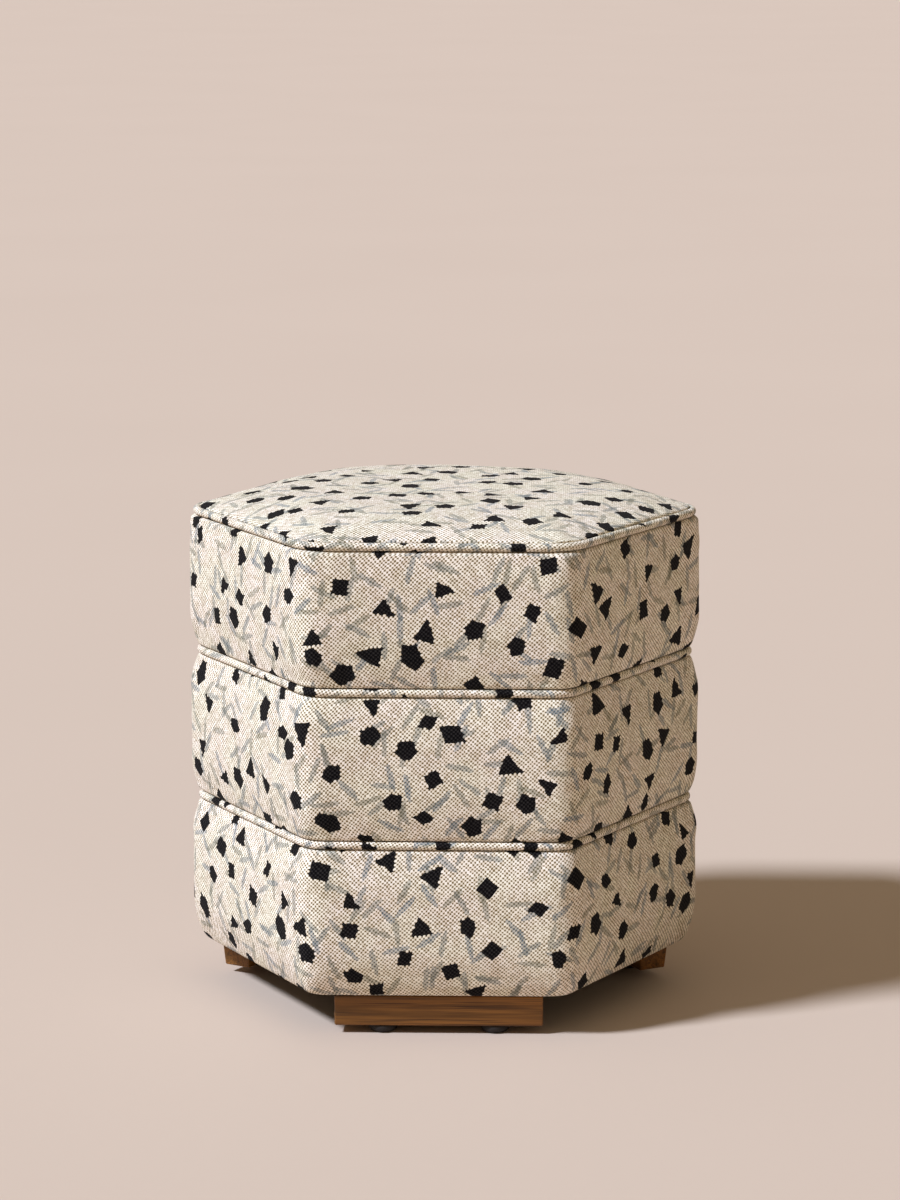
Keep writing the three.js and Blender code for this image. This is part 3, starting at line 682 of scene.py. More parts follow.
def split_in_rhombi(hexagon):
    """Joins the six triangles of a hexagon in three pairs, by taking out every other spoke."""
    centre = min(hexagon.data.vertices, key=lambda vertex: vertex.co.length).index
    open_mesh(hexagon, "DESELECT", "EDGE")
    bpy.ops.object.mode_set(mode="OBJECT")
    for edge in hexagon.data.edges:
        if centre in edge.vertices:
            rim = hexagon.data.vertices[sum(edge.vertices) - centre].co
            spoke = round(math.atan2(rim.y, rim.x) / SIDE_ANGLE)
            edge.select = spoke % 2 == 0
    bpy.ops.object.mode_set(mode="EDIT")
    bpy.ops.mesh.dissolve_edges(use_verts=False)
    bpy.ops.object.mode_set(mode="OBJECT")


def seat_edge_rings():
    """Rings below the seat's edge: round the piping, in along the sewn fold and down the foam to the deck."""
    middle = (FOLD_START_ANGLE + FOLD_END_ANGLE) / 2
    fold_height = SEAT_LINE[1] + FOLD_HALF
    fold_apothem = (SEAT_STEM + SEAT_LINE[0] - SEAT_LINE[2]) / 2
    stem_corner = SEAT_CORNER_RADIUS - (SEAT_LINE[0] - SEAT_STEM)
    return [
        hug_point(SEAT_LINE, middle, 1),
        hug_point(SEAT_LINE, FOLD_START_ANGLE, 1),
        (fold_apothem, fold_height, (SEAT_CORNER_RADIUS + stem_corner) / 2),
        (SEAT_STEM, fold_height, stem_corner),
        (SEAT_STEM, (fold_height + DECK_TOP) / 2, stem_corner),
        (SEAT_STEM, DECK_TOP + CLEARANCE, stem_corner),
    ]


def crown_lengths(apothem, edge, rise):
    """How much longer the cloth is than its plan at a share of the way out, since it climbs the crown."""
    extra = [0.0]
    length = 0.0
    last = rise + edge
    for step in range(1, CROWN_STEPS + 1):
        share = step / CROWN_STEPS
        here = crown_height((0, apothem * share), apothem, edge, rise) if share < 1 else edge
        length += math.hypot(apothem / CROWN_STEPS, here - last)
        last = here
        extra.append(length / (apothem * share) - 1)
    return lambda share: extra[min(CROWN_STEPS, int(share * CROWN_STEPS))]


def piping(name, line, nodes, cut):
    """A piping: cloth cut on the bias, folded over its cord and sewn into a seam."""
    strip = wrapped_strip(name, piping_section(line), bias=PIPING_BIAS, shift=cut)
    apothem, _, radius, _ = line
    reach = hexagon_reach(coordinates(strip.data))
    for vertex, out in zip(strip.data.vertices, reach):
        if out > apothem - radius:
            vertex.co.z += PIPING_UNEVENNESS * unevenness(vertex.co, PIPING_UNEVENNESS_WIDTH, cut[0])
    finish_pad(strip, nodes)
    return strip


# Materials


def linear(colour):
    """An sRGB hex colour as linear numbers."""
    parts = [int(colour[place:place + 2], 16) / 255 for place in (1, 3, 5)]
    return [part / 12.92 if part <= 0.04045 else ((part + 0.055) / 1.055) ** 2.4 for part in parts] + [1.0]


def set_inputs(tree, node, inputs):
    """Fills a node's inputs. An output is linked, a hex colour turned to linear, and a value set as it is."""
    for key, value in inputs.items():
        if isinstance(value, bpy.types.NodeSocket):
            tree.links.new(value, node.inputs[key])
        else:
            node.inputs[key].default_value = linear(value) if isinstance(value, str) else value


def add_node(tree, kind, inputs=None, **settings):
    """Adds a node with its inputs and settings, and gives back its outputs."""
    node = tree.nodes.new("ShaderNode" + kind)
    for key, value in settings.items():
        setattr(node, key, value)
    set_inputs(tree, node, inputs or {})
    return node.outputs


def new_material(name):
    """An empty material, its nodes and its shader."""
    material = bpy.data.materials.new(name)
    material.use_nodes = True
    tree = material.node_tree
    return material, tree, tree.nodes["Principled BSDF"]


def grain_scale(size):
    """The scale of a grain that runs along x, from the length and width of its streaks."""
    length, width = size
    return 1 / length, 1 / width, 1 / width


def scattered(tree, place, cell, layer, evenness):
    """Motifs strewn one to a cell: the way from the nearest one in millimetres, and its own draw."""
    turn, shift = layer
    spread = add_node(tree, "Mapping", {
        "Vector": place,
        "Location": (shift, shift * SECOND_SHIFT_SHARE, 0),
        "Rotation": (0, 0, turn),
        "Scale": (1 / cell, 1 / cell, 1),
    })["Vector"]
    cells = add_node(tree, "TexVoronoi", {
        "Vector": spread, "Scale": 1.0, "Randomness": evenness,
    }, voronoi_dimensions="2D")
    away = add_node(tree, "VectorMath", {0: spread, 1: cells["Position"]}, operation="SUBTRACT")[0]
    away = add_node(tree, "VectorMath", {0: away, "Scale": cell}, operation="SCALE")[0]
    draw = add_node(tree, "SeparateColor", {0: cells["Color"]})
    return away, draw


def chips(tree, place):
    """Solid straight-sided chips, each stretched and turned its own way, with sharp corners nipped off."""
    fewest, most = CHIP_SIDES
    away, draw = scattered(tree, place, CHIP_CELL, CHIP_LAYER, CHIP_SCATTER)
    turn = add_node(tree, "Math", {0: draw["Red"], 1: 2 * math.pi}, operation="MULTIPLY")[0]
    turned = add_node(tree, "VectorRotate", {"Vector": away, "Angle": turn}, rotation_type="Z_AXIS")[0]
    narrow = add_node(tree, "MapRange", {
        "Value": draw["Blue"], "To Min": CHIP_NARROW, "To Max": CHIP_WIDE,
    })["Result"]
    stretch = add_node(tree, "CombineXYZ", {"X": 1.0, "Y": narrow})[0]
    drawn = add_node(tree, "VectorMath", {0: turned, 1: stretch}, operation="MULTIPLY")[0]
    apart = add_node(tree, "SeparateXYZ", {0: drawn})
    # The draw stays short of a whole side more, so that no chip gets a side too many.
    sides = add_node(tree, "Math", {
        0: draw["Green"], 1: most - fewest + 0.9, 2: fewest,
    }, operation="MULTIPLY_ADD")[0]
    sides = add_node(tree, "Math", {0: sides}, operation="FLOOR")[0]
    sector = add_node(tree, "Math", {0: 2 * math.pi, 1: sides}, operation="DIVIDE")[0]
    angle = add_node(tree, "Math", {0: apart["Y"], 1: apart["X"]}, operation="ARCTAN2")[0]
    angle = add_node(tree, "Math", {0: draw["Blue"], 1: CHIP_TURN, 2: angle}, operation="MULTIPLY_ADD")[0]
    angle = add_node(tree, "Math", {0: angle, 1: sector, 2: 0.0}, operation="WRAP")[0]
    middle = add_node(tree, "Math", {0: sector, 1: -0.5, 2: angle}, operation="MULTIPLY_ADD")[0]
    facing = add_node(tree, "Math", {0: middle}, operation="COSINE")[0]
    distance = add_node(tree, "VectorMath", {0: drawn}, operation="LENGTH")["Value"]
    reach = add_node(tree, "Math", {0: distance, 1: facing}, operation="MULTIPLY")[0]
    inset = add_node(tree, "MapRange", {
        "Value": sides, "From Min": fewest, "From Max": most,
        "To Min": CHIP_LEAST_REACH, "To Max": CHIP_REACH,
    })["Result"]
    inside = add_node(tree, "Math", {0: reach, 1: inset}, operation="LESS_THAN")[0]
    nipped = add_node(tree, "Math", {0: distance, 1: CHIP_NIP}, operation="LESS_THAN")[0]
    return add_node(tree, "Math", {0: inside, 1: nipped}, operation="MULTIPLY")[0]


def dashes(tree, place, layer):
    """Straight narrow dashes with blunt ends, each turned its own way, and the draw that tints each."""
    away, draw = scattered(tree, place, DASH_CELL, layer, DASH_SCATTER)
    angle = add_node(tree, "Math", {0: draw["Red"], 1: 2 * math.pi}, operation="MULTIPLY")[0]
    turned = add_node(tree, "VectorRotate", {"Vector": away, "Angle": angle}, rotation_type="Z_AXIS")[0]
    apart = add_node(tree, "SeparateXYZ", {0: turned})
    along = add_node(tree, "Math", {0: apart["X"], 1: DASH_HALF_LENGTH}, operation="DIVIDE")[0]
    along = add_node(tree, "Math", {0: along, 1: DASH_BLUNTNESS}, operation="POWER")[0]
    across = add_node(tree, "Math", {0: apart["Y"]}, operation="ABSOLUTE")[0]
    reach = add_node(tree, "Math", {0: across, 1: 1 / DASH_HALF_WIDTH, 2: along}, operation="MULTIPLY_ADD")[0]
    inside = add_node(tree, "Math", {0: reach, 1: 1.0}, operation="LESS_THAN")[0]
    return inside, draw["Blue"]


def spun_place(tree, place):
    """The place on the cloth, moved a little this way and that, so that no thread runs dead straight."""
    wander = add_node(tree, "TexNoise", {
        "Vector": place, "Scale": 1 / WANDER_SPACING, "Detail": 1.0,
    }, noise_dimensions="2D")
    wander = add_node(tree, "VectorMath", {0: wander["Color"], 1: (0.5, 0.5, 0.5)}, operation="SUBTRACT")[0]
    wander = add_node(tree, "VectorMath", {0: wander, "Scale": THREAD_WANDER}, operation="SCALE")[0]
    return add_node(tree, "VectorMath", {0: place, 1: wander}, operation="ADD")[0]


def thread_runs(tree, place):
    """How many ribs and how many crossing floats lie between the start of the cloth and a place."""
    apart = add_node(tree, "SeparateXYZ", {0: place})
    runs = []
    for across, up in ((RIB_ACROSS, THREAD_UP), (FLOAT_ACROSS, -THREAD_UP)):
        run = add_node(tree, "Math", {0: apart["X"], 1: across}, operation="DIVIDE")[0]
        run = add_node(tree, "Math", {0: apart["Y"], 1: 1 / up, 2: run}, operation="MULTIPLY_ADD")[0]
        runs.append(run)
    return runs


def stitch_centre(tree, count):
    """The middle of a stitch on the cloth, worked back from its two counts."""
    both = add_node(tree, "Math", {0: count["X"], 1: count["Y"]}, operation="ADD")[0]
    across = 1 / (1 / RIB_ACROSS + 1 / FLOAT_ACROSS)
    x = add_node(tree, "Math", {0: both, 1: across, 2: across}, operation="MULTIPLY_ADD")[0]
    up = add_node(tree, "Math", {0: count["X"], 1: THREAD_UP, 2: THREAD_UP / 2}, operation="MULTIPLY_ADD")[0]
    y = add_node(tree, "Math", {0: x, 1: -THREAD_UP / RIB_ACROSS, 2: up}, operation="MULTIPLY_ADD")[0]
    return add_node(tree, "CombineXYZ", {"X": x, "Y": y})[0]


def yarn_height(tree, runs, count, chance):
    """How high the yarn stands: ribs and floats together, uneven by the stitch and by the thread."""
    rib, crossing = [add_node(tree, "Math", {0: run, 1: 0.5}, operation="PINGPONG")[0] for run in runs]
    height = add_node(tree, "Math", {0: crossing, 1: rib}, operation="ADD")[0]
    height = add_node(tree, "Math", {0: chance, 1: -STITCH_DEPTH, 2: height}, operation="MULTIPLY_ADD")[0]
    for thread in (count["X"], count["Y"]):
        slub = add_node(tree, "TexWhiteNoise", {"W": thread}, noise_dimensions="1D")["Value"]
        height = add_node(tree, "Math", {0: slub, 1: -SLUB_DEPTH, 2: height}, operation="MULTIPLY_ADD")[0]
    return height


def woven_jacquard():
    """Jacquard woven of cream and ecru yarns in a bold twill: matt ribs, painted shade in the grooves,
    stepped motifs.
    """
    material, tree, shader = new_material("cream_jacquard_twill")
    cloth_map = add_node(tree, "UVMap", uv_map="cloth")[0]
    place = add_node(tree, "VectorMath", {0: cloth_map, "Scale": 1 / MM}, operation="SCALE")[0]
    spun = spun_place(tree, place)
    runs = thread_runs(tree, spun)
    both_runs = add_node(tree, "CombineXYZ", {"X": runs[0], "Y": runs[1]})[0]
    stitch = add_node(tree, "VectorMath", {0: both_runs}, operation="FLOOR")[0]
    chance = add_node(tree, "TexWhiteNoise", {"Vector": stitch}, noise_dimensions="2D")["Value"]
    count = add_node(tree, "SeparateXYZ", {0: stitch})
    centre = stitch_centre(tree, count)
    stepped = add_node(tree, "Mix", {0: STEPPING, 4: spun, 5: centre}, data_type="VECTOR")[1]

    height = yarn_height(tree, runs, count, chance)
    raised = add_node(tree, "MapRange", {
        "Value": height, "From Min": GROOVE_HEIGHT, "From Max": RIB_HEIGHT,
    }, interpolation_type="SMOOTHSTEP")["Result"]
    patches = add_node(tree, "TexNoise", {
        "Vector": place, "Scale": 1 / PATCH_SIZE, "Detail": 2.0,
    }, noise_dimensions="2D")
    patch = add_node(tree, "MapRange", {"Value": patches["Fac"], "From Min": 0.35, "From Max": 0.65})[0]
    cream, ecru = [
        add_node(tree, "Mix", {0: patch, 6: first, 7: second}, data_type="RGBA")[2]
        for first, second in (CREAM_YARNS, ECRU_YARNS)
    ]
    yarns = add_node(tree, "Mix", {0: chance, 6: cream, 7: ecru}, data_type="RGBA")[2]
    # Painted shade: where the yarn lies low, the colour goes over to the dark groove colour.
    ground = add_node(tree, "Mix", {0: raised, 6: GROOVE_PAINTED_SHADE, 7: yarns}, data_type="RGBA")[2]
    seen = add_node(tree, "MapRange", {"Value": raised, "To Min": DASH_IN_GROOVE, "To Max": DASH_ON_RIB})[0]
    cool, warm = DASH_COLOURS
    for layer in DASH_LAYERS:
        inside, draw = dashes(tree, stepped, layer)
        tint = add_node(tree, "Mix", {0: draw, 6: cool, 7: warm}, data_type="RGBA")[2]
        share = add_node(tree, "Math", {0: inside, 1: seen}, operation="MULTIPLY")[0]
        ground = add_node(tree, "Mix", {0: share, 6: ground, 7: tint}, data_type="RGBA")[2]
    fleck = add_node(tree, "MapRange", {"Value": height, "From Min": 0.3, "From Max": 0.7, "To Max": 0.15})[0]
    black, grey = CHIP_COLOURS
    ink = add_node(tree, "Mix", {0: fleck, 6: black, 7: grey}, data_type="RGBA")[2]
    colour = add_node(tree, "Mix", {0: chips(tree, stepped), 6: ground, 7: ink}, data_type="RGBA")[2]
    bump = add_node(tree, "Bump", {"Height": raised, "Strength": 0.7, "Distance": 0.5 * MM})[0]
    set_inputs(tree, shader, {
        "Base Color": colour, "Normal": bump, "Roughness": 0.9,
        "Specular IOR Level": 0.06, "Sheen Weight": 0.015, "Sheen Roughness": 0.5,
    })
    return material


def stained_hardwood():
    """Close-grained hardwood, planed and stained: brown, finely streaked along the block, a low sheen."""
    material, tree, shader = new_material("stained_planed_hardwood")
    grain = add_node(tree, "Attribute", attribute_name="grain")["Vector"]
    drawn = add_node(tree, "Mapping", {"Vector": grain, "Scale": grain_scale(WOOD_STREAK)})["Vector"]
    figure = add_node(tree, "TexNoise", {"Vector": drawn, "Scale": 1.0, "Detail": 4.0, "Distortion": 0.4})[0]
    fine = add_node(tree, "Mapping", {"Vector": grain, "Scale": grain_scale(WOOD_PORE)})["Vector"]
    pores = add_node(tree, "TexNoise", {"Vector": fine, "Scale": 1.0, "Detail": 2.0})["Fac"]
    tone = add_node(tree, "MapRange", {"Value": figure, "From Min": 0.3, "From Max": 0.7})["Result"]
    wood = add_node(tree, "Mix", {0: tone, 6: "#5a3812", 7: "#96632c"}, data_type="RGBA")[2]
    dark = add_node(tree, "MapRange", {"Value": pores, "From Min": 0.48, "From Max": 0.68, "To Max": 0.7})[0]
    colour = add_node(tree, "Mix", {0: dark, 6: wood, 7: "#2c190b"}, data_type="RGBA")[2]
    bump = add_node(tree, "Bump", {"Height": pores, "Strength": 0.3, "Distance": 0.08 * MM})[0]
    rough = add_node(tree, "MapRange", {"Value": pores, "To Min": 0.38, "To Max": 0.55})["Result"]
    set_inputs(tree, shader, {
        "Base Color": colour, "Normal": bump, "Roughness": rough, "Specular IOR Level": 0.3,
    })
    return material


def moulded_plastic():
    """Injection-moulded nylon: near black, dull, with a fine moulded grain."""
    material, tree, shader = new_material("moulded_black_nylon")
    place = add_node(tree, "TexCoord")["Object"]
    grain = add_node(tree, "TexNoise", {"Vector": place, "Scale": 1 / NYLON_GRAIN, "Detail": 2.0})["Fac"]
    colour = add_node(tree, "Mix", {0: grain, 6: "#191412", 7: "#261f1b"}, data_type="RGBA")[2]
    bump = add_node(tree, "Bump", {"Height": grain, "Strength": 0.3, "Distance": 0.05 * MM})[0]
    set_inputs(tree, shader, {
        "Base Color": colour, "Normal": bump, "Roughness": 0.6, "Specular IOR Level": 0.3,
    })
    return material


def zinc_steel():
    """Zinc-plated steel, tumbled: pale grey metal with a slightly uneven shine."""
    material, tree, shader = new_material("zinc_plated_steel")
    place = add_node(tree, "TexCoord")["Object"]
    cloud = add_node(tree, "TexNoise", {"Vector": place, "Scale": 1 / ZINC_CLOUD, "Detail": 3.0})["Fac"]
    colour = add_node(tree, "Mix", {0: cloud, 6: "#b3b6b8", 7: "#cfd1d0"}, data_type="RGBA")[2]
    rough = add_node(tree, "MapRange", {"Value": cloud, "To Min": 0.25, "To Max": 0.5})["Result"]
    set_inputs(tree, shader, {"Base Color": colour, "Roughness": rough, "Metallic": 1.0})
    return material


def birch_plywood():
    """Birch plywood, sawn and sanded: light and dark plies along its edges, soft figure on its faces."""
    material, tree, shader = new_material("sanded_birch_plywood")
    place = add_node(tree, "TexCoord")["Object"]
    apart = add_node(tree, "SeparateXYZ", {0: place})
    ply = add_node(tree, "Math", {0: apart["Z"], 1: PLY_THICKNESS}, operation="PINGPONG")[0]
    band = add_node(tree, "MapRange", {
        "Value": ply, "From Min": 0.4 * PLY_THICKNESS, "From Max": 0.6 * PLY_THICKNESS,
    }, interpolation_type="SMOOTHSTEP")["Result"]
    drawn = add_node(tree, "Mapping", {"Vector": place, "Scale": grain_scale(PLYWOOD_FIGURE)})["Vector"]
    figure = add_node(tree, "TexNoise", {"Vector": drawn, "Scale": 1.0, "Detail": 4.0})["Fac"]
    pale = add_node(tree, "Mix", {0: figure, 6: "#c9a77a", 7: "#e0c79d"}, data_type="RGBA")[2]
    dark = add_node(tree, "Mix", {0: figure, 6: "#9a7548", 7: "#b98f5c"}, data_type="RGBA")[2]
    colour = add_node(tree, "Mix", {0: band, 6: pale, 7: dark}, data_type="RGBA")[2]
    bump = add_node(tree, "Bump", {"Height": figure, "Strength": 0.2, "Distance": 0.1 * MM})[0]
    set_inputs(tree, shader, {"Base Color": colour, "Normal": bump, "Roughness": 0.65})
    return material


def pressed_hardboard():
    """Hardboard pressed from brown fibres: an even dark board with fine lighter fibres."""
    material, tree, shader = new_material("pressed_hardboard")
    place = add_node(tree, "TexCoord")["Object"]
    fibres = add_node(tree, "TexNoise", {
        "Vector": place, "Scale": 1 / HARDBOARD_FIBRE, "Detail": 5.0, "Roughness": 0.7,
    })["Fac"]
    colour = add_node(tree, "Mix", {0: fibres, 6: "#5b3f27", 7: "#80603f"}, data_type="RGBA")[2]
    bump = add_node(tree, "Bump", {"Height": fibres, "Strength": 0.25, "Distance": 0.1 * MM})[0]
    set_inputs(tree, shader, {"Base Color": colour, "Normal": bump, "Roughness": 0.6})
    return material


def bonded_dust_cloth():
    """Spun-bonded black cloth, point-welded: matt, thin, with a grid of tiny pressed dots."""
    material, tree, shader = new_material("spun_bonded_dust_cloth")
    place = add_node(tree, "TexCoord")["Object"]
    fibres = add_node(tree, "TexNoise", {"Vector": place, "Scale": 1 / DUST_FIBRE, "Detail": 4.0})["Fac"]
    dots = add_node(tree, "TexVoronoi", {
        "Vector": place, "Scale": 1 / WELD_SPACING, "Randomness": 0.1,
    }, voronoi_dimensions="2D")
    weld = add_node(tree, "MapRange", {"Value": dots["Distance"], "From Min": 0.2, "From Max": 0.35})[0]
    cloth = add_node(tree, "Mix", {0: fibres, 6: "#1f1f20", 7: "#343435"}, data_type="RGBA")[2]
    colour = add_node(tree, "Mix", {0: weld, 6: "#101011", 7: cloth}, data_type="RGBA")[2]
    bump = add_node(tree, "Bump", {"Height": weld, "Strength": 0.4, "Distance": 0.1 * MM})[0]
    set_inputs(tree, shader, {"Base Color": colour, "Normal": bump, "Roughness": 0.85})
    return material


def plain_floor():
    """A plain pale matt floor with the least unevenness of tone."""
    material, tree, shader = new_material("plain_pale_floor")
    place = add_node(tree, "TexCoord")["Object"]
    cloud = add_node(tree, "TexNoise", {"Vector": place, "Scale": 1 / FLOOR_CLOUD, "Detail": 2.0})["Fac"]
    first, second = FLOOR_COLOURS
    colour = add_node(tree, "Mix", {0: cloud, 6: first, 7: second}, data_type="RGBA")[2]
    set_inputs(tree, shader, {"Base Color": colour, "Roughness": 0.8})
    return material


def dress(piece, material):
    """Gives a piece one material all over."""
    piece.data.materials.clear()
    piece.data.materials.append(material)


# Hard pieces


def rounded_block(name, low, high):
    """One hardwood block in the front: tapered in towards the floor, edges eased, with stepped bolt holes."""
    bpy.ops.object.select_all(action="DESELECT")
    middle = (low + high) / 2
    bpy.ops.mesh.primitive_cube_add(size=1, location=middle)
    block = named(name)
    block.scale = high - low
    bpy.ops.object.transform_apply(location=True, rotation=True, scale=True)
    open_mesh(block, "DESELECT", "VERT")
    bpy.ops.object.mode_set(mode="OBJECT")
    for vertex in block.data.vertices:
        vertex.select = vertex.co.z < middle.z and vertex.co.y < middle.y
    bpy.ops.object.mode_set(mode="EDIT")
    bpy.ops.transform.translate(value=(0, FOOT_TAPER, 0))
    bpy.ops.mesh.select_all(action="SELECT")
    bpy.ops.mesh.bevel(offset=FOOT_EASE, segments=FOOT_EASE_STEPS, affect="EDGES")
    bpy.ops.object.mode_set(mode="OBJECT")
    for bolt in ("foot_bolt_front_left", "foot_bolt_front_right"):
        bolt_low, bolt_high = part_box(bolt)
        axis = (bolt_low + bolt_high) / 2
        for diameter, bottom, top in (
            (COUNTERBORE_DIAMETER, low.z - DRILL_SPARE, low.z + COUNTERBORE_DEPTH),
            (BOLT_HOLE_DIAMETER, low.z, high.z + DRILL_SPARE),
        ):
            cut_round_hole(block, axis, diameter, bottom, top)
    return block


def cut_round_hole(piece, axis, diameter, bottom, top):
    """Drills a straight round hole."""
    bpy.ops.object.select_all(action="DESELECT")
    middle = (axis.x, axis.y, (bottom + top) / 2)
    bpy.ops.mesh.primitive_cylinder_add(
        vertices=ROUND_STEPS, radius=diameter / 2, depth=top - bottom, location=middle
    )
    drill = bpy.context.active_object
    apply_modifier(piece, "hole", "BOOLEAN", object=drill, operation="DIFFERENCE", solver="EXACT")
    bpy.data.objects.remove(drill)


def hardwood_blocks(material):
    """The three blocks: one made at the front, its copies turned to their own sides."""
    low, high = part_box("foot_front")
    front = rounded_block("hardwood_block_front", low, high)
    from_middle = coordinates(front.data) - np.array((low + high) / 2)
    front.data.attributes.new("grain", "FLOAT_VECTOR", "POINT")
    dress(front, material)
    for name, turns in BLOCK_TURNS.items():
        block = front
        if turns:
            block = copied(front, "hardwood_block_" + name)
            block.data.transform(Matrix.Rotation(2 * turns * SIDE_ANGLE, 4, "Z"))
        on_plank = from_middle + turns * np.array(PLANK_STEP)
        block.data.attributes["grain"].data.foreach_set("vector", on_plank.ravel())
        only(block)
        bpy.ops.object.shade_smooth_by_angle(angle=SMOOTH_ANGLE)
        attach(block, "root")
        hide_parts("foot_" + name)


def glide_profile(low, high, top):
    """Outline of a nailed glide: out from its flat face, round its rim, in over its back and up its nail."""
    radius = (high.x - low.x) / 2
    rim = [(radius * out, low.z + GLIDE_RIM_HEIGHT * up) for out, up in GLIDE_RIM]
    back = [(radius * out, low.z + (top - low.z) * up) for out, up in GLIDE_BACK]
    nail = [
        (NAIL_RADIUS, top),
        (NAIL_RADIUS, high.z - NAIL_POINT),
        (NAIL_RADIUS * NAIL_TIP_SHARE, high.z),
    ]
    return rim + back + nail


def turned_piece(name, axis, profile):
    """A turned piece, drawn up ring by ring from a disc. Each ring gets its width, and the last is closed."""
    bpy.ops.object.select_all(action="DESELECT")
    radius, height = profile[0]
    bpy.ops.mesh.primitive_circle_add(
        vertices=ROUND_STEPS, radius=radius, fill_type="NGON", location=(axis.x, axis.y, height)
    )
    piece = named(name)
    bpy.ops.object.transform_apply(location=True, rotation=True, scale=True)
    open_mesh(piece, "SELECT", "FACE")
    for (before, below), (after, above) in zip(profile, profile[1:]):
        bpy.ops.mesh.extrude_region_move(TRANSFORM_OT_translate={"value": (0, 0, above - below)})
        share = after / before
        bpy.ops.transform.resize(value=(share, share, 1), center_override=(axis.x, axis.y, above))
    bpy.ops.mesh.merge(type="CENTER")
    bpy.ops.object.mode_set(mode="OBJECT")
    clean_shell(piece)
    return piece


def nailed_glides(material):
    """Six glides: one is turned at the front and copied to the other places."""
    first = None
    for name in BLOCK_TURNS:
        for hand in ("left", "right"):
            node = "glide_" + name + "_" + hand
            low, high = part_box(node)
            axis = (low + high) / 2
            if first is None:
                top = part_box("foot_front")[0].z - GLIDE_GAP
                glide = turned_piece("nailed_" + node, axis, glide_profile(low, high, top))
                bpy.ops.object.shade_smooth_by_angle(angle=SMOOTH_ANGLE)
                dress(glide, material)
                first, first_axis = glide, axis
            else:
                glide = copied(first, "nailed_" + node)
                glide.data.transform(Matrix.Translation(axis - first_axis))
            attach(glide, "root")
            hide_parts(node)


def dust_cover(material):
    """The cloth under the base: a stretched hexagon that sags a little in the middle."""
    low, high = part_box("dust_cover")
    apothem = high.y
    cover = flat_hexagon("underside_dust_cover", apothem, high.z, DUST_COVER_CUTS)
    bpy.ops.object.mode_set(mode="OBJECT")
    free = -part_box("foot_front")[1].y - DUST_COVER_RIM
    for vertex in cover.data.vertices:
        out = min(1.0, vertex.co.xy.length / free)
        vertex.co.z -= DUST_COVER_SAG * (1 - out ** 2) ** 2
    apply_modifier(cover, "cloth", "SOLIDIFY", thickness=DUST_COVER_THICKNESS, offset=-1)
    cover.data.shade_smooth()
    dress(cover, material)
    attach(cover, "root")
    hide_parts("dust_cover")


# Camera, floor and light


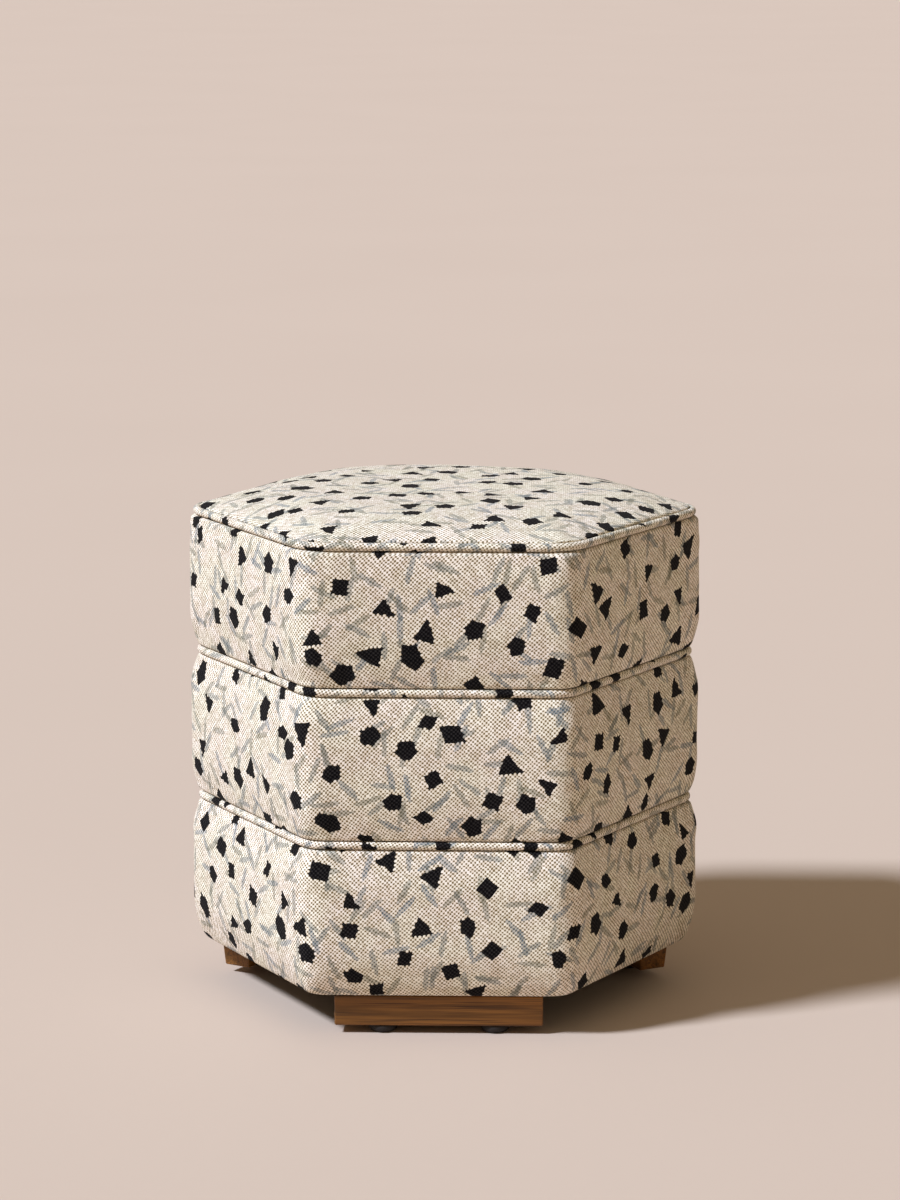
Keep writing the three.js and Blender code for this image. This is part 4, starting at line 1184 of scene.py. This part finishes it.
def stage_and_light():
    """The camera, a plain pale floor, one broad soft light from the left and weaker light from all round."""
    camera_data = bpy.data.cameras.new("camera")
    camera = bpy.data.objects.new("camera", camera_data)
    camera.location = CAMERA_PLACE
    camera.rotation_euler = Vector(CAMERA_AIM).to_track_quat("-Z", "Y").to_euler()
    camera_data.lens = CAMERA_LENS
    camera_data.sensor_width = CAMERA_SENSOR
    bpy.context.scene.collection.objects.link(camera)
    bpy.context.scene.camera = camera

    bpy.ops.object.select_all(action="DESELECT")
    bpy.ops.mesh.primitive_plane_add(size=FLOOR_SIZE)
    floor = named("floor")
    dress(floor, plain_floor())

    sun_data = bpy.data.lights.new("window_light", "SUN")
    sun_data.energy = SUN_STRENGTH
    sun_data.color = linear(SUN_COLOUR)[:3]
    sun_data.angle = math.radians(SUN_SPREAD_DEGREES)
    sun = bpy.data.objects.new("window_light", sun_data)
    sun.rotation_euler = Vector(SUN_DIRECTION).to_track_quat("Z", "Y").to_euler()
    bpy.context.scene.collection.objects.link(sun)

    world = bpy.data.worlds.new("pale_room")
    bpy.context.scene.world = world
    world.use_nodes = True
    tree = world.node_tree
    tree.nodes.clear()
    rays = add_node(tree, "LightPath")
    seen = rays["Is Camera Ray"]
    for ray in ("Is Glossy Ray", "Is Transmission Ray"):
        seen = add_node(tree, "Math", {0: seen, 1: rays[ray]}, operation="MAXIMUM")[0]
    light = add_node(tree, "Background", {"Color": WORLD_LIGHT_COLOUR, "Strength": WORLD_STRENGTH})[0]
    shown = add_node(tree, "Background", {"Color": WORLD_SEEN_COLOUR, "Strength": 1.0})[0]
    both = add_node(tree, "MixShader", {0: seen, 1: light, 2: shown})[0]
    add_node(tree, "OutputWorld", {"Surface": both})
    bpy.context.scene.view_settings.view_transform = "Standard"


def dress_frame():
    """Boards, posts, panels and bolts keep their own shapes and get their finishes."""
    plywood, hardboard, steel = birch_plywood(), pressed_hardboard(), zinc_steel()
    finishes = {"side_panel": hardboard, "foot_bolt": steel, "tee_nut": steel}
    for name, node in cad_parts.items():
        if node.hide_render:
            continue
        kinds = [kind for kind in finishes if name.startswith(kind)]
        dress(node, finishes[kinds[0]] if kinds else plywood)


def upholstery():
    """Seat, tiers and pipings, all in the same cloth."""
    cloth = woven_jacquard()
    pads = [
        tier_pad(
            "top_tier_upholstery", piped_end(UPPER_LINE, 1), piped_end(SEAT_LINE, -1),
            ("cover_band_top", "foam_band_top"), TOP_CUT, TOP_SEED,
        ),
        tier_pad(
            "middle_tier_upholstery", piped_end(LOWER_LINE, 1), piped_end(UPPER_LINE, -1),
            ("cover_band_middle", "foam_band_middle"), MIDDLE_CUT, MIDDLE_SEED,
        ),
        tier_pad(
            "bottom_tier_upholstery", rolled_end(), piped_end(LOWER_LINE, -1),
            ("cover_band_bottom", "foam_band_bottom"), BOTTOM_CUT, BOTTOM_SEED,
        ),
        seat_pad(SEAT_SEED),
    ]
    pipings = [
        piping("seat_edge_piping", SEAT_LINE, ("piping_seat", "piping_cord_seat"), SEAT_PIPING_CUT),
        piping(
            "upper_seam_piping", UPPER_LINE, ("piping_upper_seam", "piping_cord_upper_seam"), UPPER_PIPING_CUT
        ),
        piping(
            "lower_seam_piping", LOWER_LINE, ("piping_lower_seam", "piping_cord_lower_seam"), LOWER_PIPING_CUT
        ),
    ]
    for piece in pads + pipings:
        dress(piece, cloth)


stage_and_light()
upholstery()
hardwood_blocks(stained_hardwood())
nailed_glides(moulded_plastic())
dust_cover(bonded_dust_cloth())
dress_frame()
